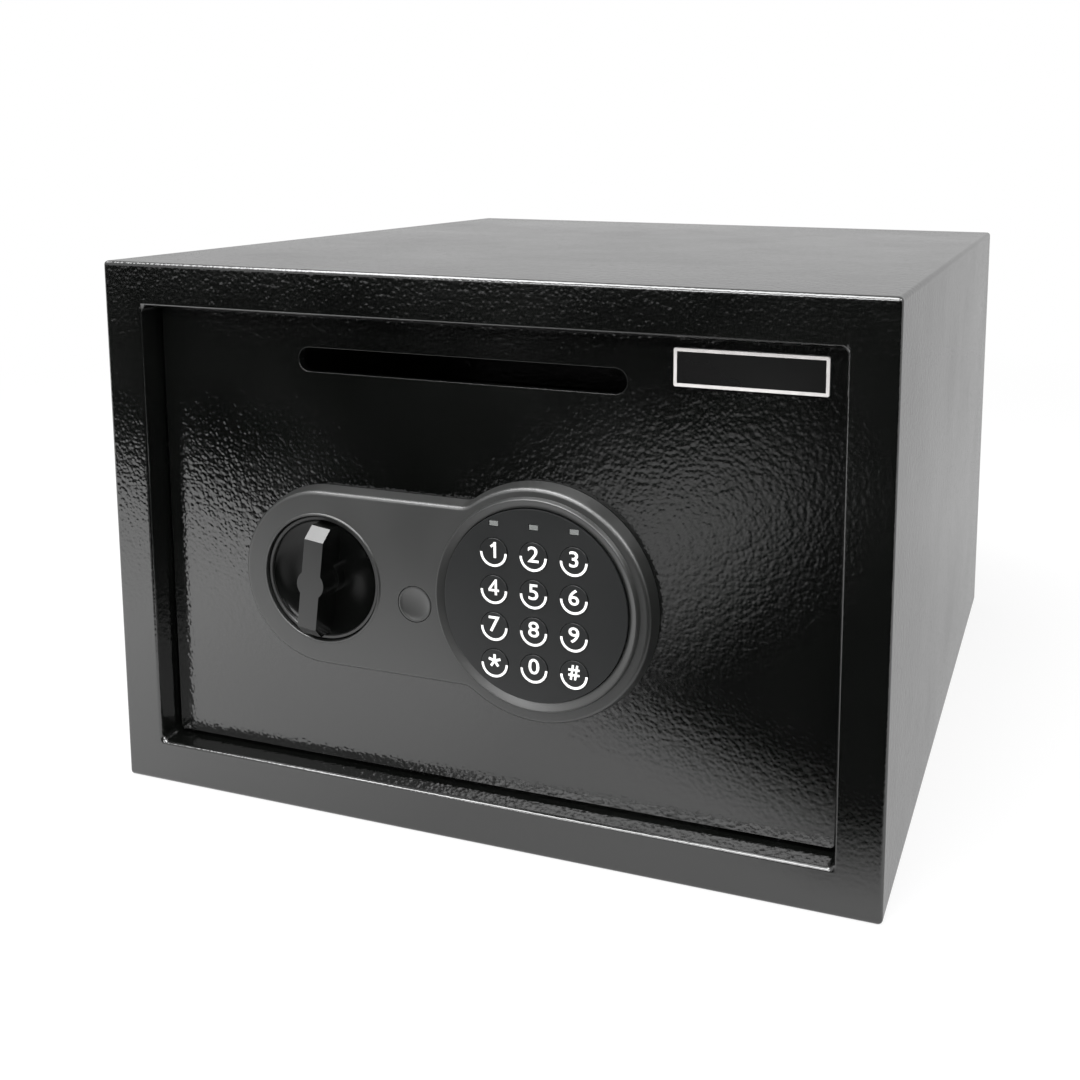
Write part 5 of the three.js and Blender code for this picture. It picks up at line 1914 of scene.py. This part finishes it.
@dataclass
class Studio:
    """A pale floor, soft light from above, and the camera at the photograph's angle."""

    camera_place: Place = (0.2481, -0.6524, 0.3039)
    yaw: float = 18.645
    pitch: float = -8.013
    roll: float = -0.486
    focal_pixels: float = 1261.5
    image_side: float = 1080
    shift: Pair = (-0.12, -0.2)
    floor_colour: Place = (0.9, 0.9, 0.9)
    near_glow: Pair = (0.45, 0.8)
    far_glow: Pair = (1.3, 1.0)
    shade_left: Pair = (-0.56, -0.645)
    shade_right: Pair = (0.15, -0.235)
    shade_softness: float = 0.04
    dim_centre: Place = (-0.08, -0.6, 0.0)
    dim_half: Place = (0.16, 0.45, 1.0)
    dim_core: float = 0.2
    dim_level: float = 0.5
    gloss_floor_light_left: Pair = (-0.32, 1.0)
    gloss_floor_light_right: Pair = (-0.02, 0.62)
    gloss_level: float = 0.63
    unlit_level: float = 0.08
    unlit_way: Place = (0.4, -0.87, 0.25)
    unlit_reach: Pair = (0.6, 0.85)
    fill_level: float = 0.5

    def build(self) -> None:
        """Sets up the floor, the lamps, the surroundings and the camera."""
        bpy.context.scene.view_settings.view_transform = "Standard"
        self.floor()
        self.lamps()
        self.surroundings()
        self.camera()

    def floor(self) -> None:
        """Lays the floor. What gloss sees of it fades out in front, as in an unlit room."""
        bpy.ops.mesh.primitive_plane_add(size=12)
        floor = bpy.context.object
        floor.name = "studio_floor"
        paper = bpy.data.materials.new("floor_paper")
        paper.use_nodes = True
        tree = paper.node_tree
        shader = tree.nodes["Principled BSDF"]
        shader.inputs["Roughness"].default_value = 0.9
        shader.inputs["Specular IOR Level"].default_value = 0.0
        shader.inputs["Base Color"].default_value = (*self.floor_colour, 1)
        place = add_node(tree, "TexCoord").outputs["Object"]
        glow = run(tree, reckon_places(tree, "LENGTH", place), self.near_glow, self.far_glow)
        share = reckon(tree, "MULTIPLY", self.seen_directly(tree), glow)
        white = add_node(tree, "Emission", in_Color=(1, 1, 1, 1), in_Strength=1.0).outputs[0]
        matt = shader.outputs[0]
        pale = add_node(tree, "MixShader", in_0=share, in_1=matt, in_2=white).outputs[0]
        patch = self.dim_patch(tree, place)
        unlit = add_node(tree, "Emission", in_Color=(1, 1, 1, 1), in_Strength=patch).outputs[0]
        mask = self.unlit_floor(tree, place)
        last = add_node(tree, "MixShader", in_0=mask, in_1=pale, in_2=unlit).outputs[0]
        tree.links.new(last, tree.nodes["Material Output"].inputs["Surface"])
        floor.data.materials.append(paper)

    def seen_directly(self, tree: Tree) -> Socket:
        """Gives 1 for rays that show the background: from the camera, in gloss and through glass.

        Args:
            tree: The floor's node tree.

        Returns:
            The value.
        """
        path = add_node(tree, "LightPath").outputs
        first = reckon(tree, "MAXIMUM", path["Is Camera Ray"], path["Is Glossy Ray"])
        return reckon(tree, "MAXIMUM", first, path["Is Transmission Ray"])

    def dim_patch(self, tree: Tree, place: Socket) -> Socket:
        """Gives the faint light of the patch that lies on the unlit floor in front.

        Args:
            tree: The floor's node tree.
            place: The floor's points.

        Returns:
            The brightness.
        """
        aside = reckon_places(tree, "SUBTRACT", place, self.dim_centre)
        away = reckon_places(tree, "LENGTH", reckon_places(tree, "DIVIDE", aside, self.dim_half))
        return run(tree, away, (self.dim_core, self.dim_level), (1.0, 0.0), soft=True)

    def unlit_floor(self, tree: Tree, place: Socket) -> Socket:
        """Gives 1 where gloss meets the unlit floor far in front, and nearer in front on the right.

        Nearer to the safe, painted shade makes what gloss sees of the floor a little darker on the
        right than on the left.

        Args:
            tree: The floor's node tree.
            place: The floor's points.

        Returns:
            The mask.
        """
        split = add_node(tree, "SeparateXYZ", in_0=place).outputs
        edge = run(tree, split["X"], self.shade_left, self.shade_right)
        past = reckon(tree, "SUBTRACT", edge, split["Y"])
        near, far = (-self.shade_softness, 1.0), (self.shade_softness, 0.0)
        fade = run(tree, past, near, far, soft=True)
        # Painted shade: what gloss sees of the floor grows darker towards the right.
        level = run(tree, split["X"], self.gloss_floor_light_left, self.gloss_floor_light_right)
        unlit = reckon(tree, "SUBTRACT", 1.0, reckon(tree, "MULTIPLY", fade, level))
        gloss = add_node(tree, "LightPath").outputs["Is Glossy Ray"]
        return reckon(tree, "MULTIPLY", unlit, gloss)

    def lamps(self) -> None:
        """Hangs a wide soft lamp above, one on each side, and one far in front."""
        self.lamp("key_lamp", (-0.3, -0.45, 1.4), (-0.05, -0.1, 0.1), (1.7, 0.7), 26.0)
        self.lamp("left_lamp", (-0.85, -0.7, 1.4), (0, -0.1, 0.12), (0.5, 0.5), 3.0)
        self.lamp("right_lamp", (1.0, -0.55, 1.0), (0, -0.15, 0.14), (0.9, 0.6), 9.0)
        self.lamp("front_lamp", (-0.1, -1.8, 1.15), (0, -0.2, 0.14), (1.6, 0.45), 14.0)

    def lamp(self, name: str, place: Place, target: Place, sides: Pair, power: float) -> None:
        """Adds one soft lamp.

        Args:
            name: The lamp's name.
            place: Where it hangs.
            target: What it points at.
            sides: Its length along X and its width.
            power: Its power in watts.
        """
        light = bpy.data.lights.new(name, "AREA")
        light.shape = "RECTANGLE"
        light.size, light.size_y = sides
        light.energy = power
        lamp = bpy.data.objects.new(name, light)
        bpy.context.scene.collection.objects.link(lamp)
        lamp.location = place
        lamp.rotation_euler = (Vector(target) - Vector(place)).to_track_quat("-Z", "Y").to_euler()

    def surroundings(self) -> None:
        """Makes the surroundings white, with an unlit corner on the right that gloss sees."""
        world = bpy.data.worlds.new("studio")
        world.use_nodes = True
        tree = world.node_tree
        way = add_node(tree, "TexCoord").outputs["Generated"]
        nearness = reckon_places(tree, "DOT_PRODUCT", way, Vector(self.unlit_way).normalized())
        lit_end, unlit_end = self.unlit_reach
        gloss = run(
            tree, nearness, (lit_end, self.gloss_level), (unlit_end, self.unlit_level), soft=True
        )
        path = add_node(tree, "LightPath").outputs
        mirrored = path["Is Glossy Ray"]
        lit = add_node(
            tree, "Mix", data_type="FLOAT", in_0=mirrored, in_2=self.fill_level, in_3=gloss
        ).outputs[0]
        clear = reckon(tree, "MAXIMUM", path["Is Camera Ray"], path["Is Transmission Ray"])
        level = add_node(tree, "Mix", data_type="FLOAT", in_0=clear, in_2=lit, in_3=1.0).outputs[0]
        shader = tree.nodes["Background"]
        tree.links.new(level, shader.inputs["Strength"])
        shader.inputs["Color"].default_value = (1, 1, 1, 1)
        bpy.context.scene.world = world

    def camera(self) -> None:
        """Places the camera where the photograph was taken from."""
        data = bpy.data.cameras.new("photo_camera")
        data.lens = self.focal_pixels / self.image_side * data.sensor_width
        data.shift_x, data.shift_y = self.shift
        data.clip_start = 0.02
        data.clip_end = 40
        camera = bpy.data.objects.new("photo_camera", data)
        bpy.context.scene.collection.objects.link(camera)
        turn = (
            Matrix.Rotation(math.radians(self.yaw), 4, "Z")
            @ Matrix.Rotation(math.radians(self.pitch), 4, "X")
            @ Matrix.Rotation(math.radians(self.roll), 4, "Y")
            @ Matrix.Rotation(math.pi / 2, 4, "X")
        )
        camera.matrix_world = Matrix.Translation(self.camera_place) @ turn
        bpy.context.scene.camera = camera


def main() -> None:
    """Builds the safe and the studio."""
    logging.basicConfig(level=logging.INFO, format="%(name)s: %(message)s")
    outside = (SteelBody, Door, LockHousing, Keypad, Knob, EmergencyLock)
    for assembly in (*outside, BoltWork, InnerCase, Studio):
        assembly().build()
        LOG.info("%s done", assembly.__name__)


if __name__ == "__main__":
    main()
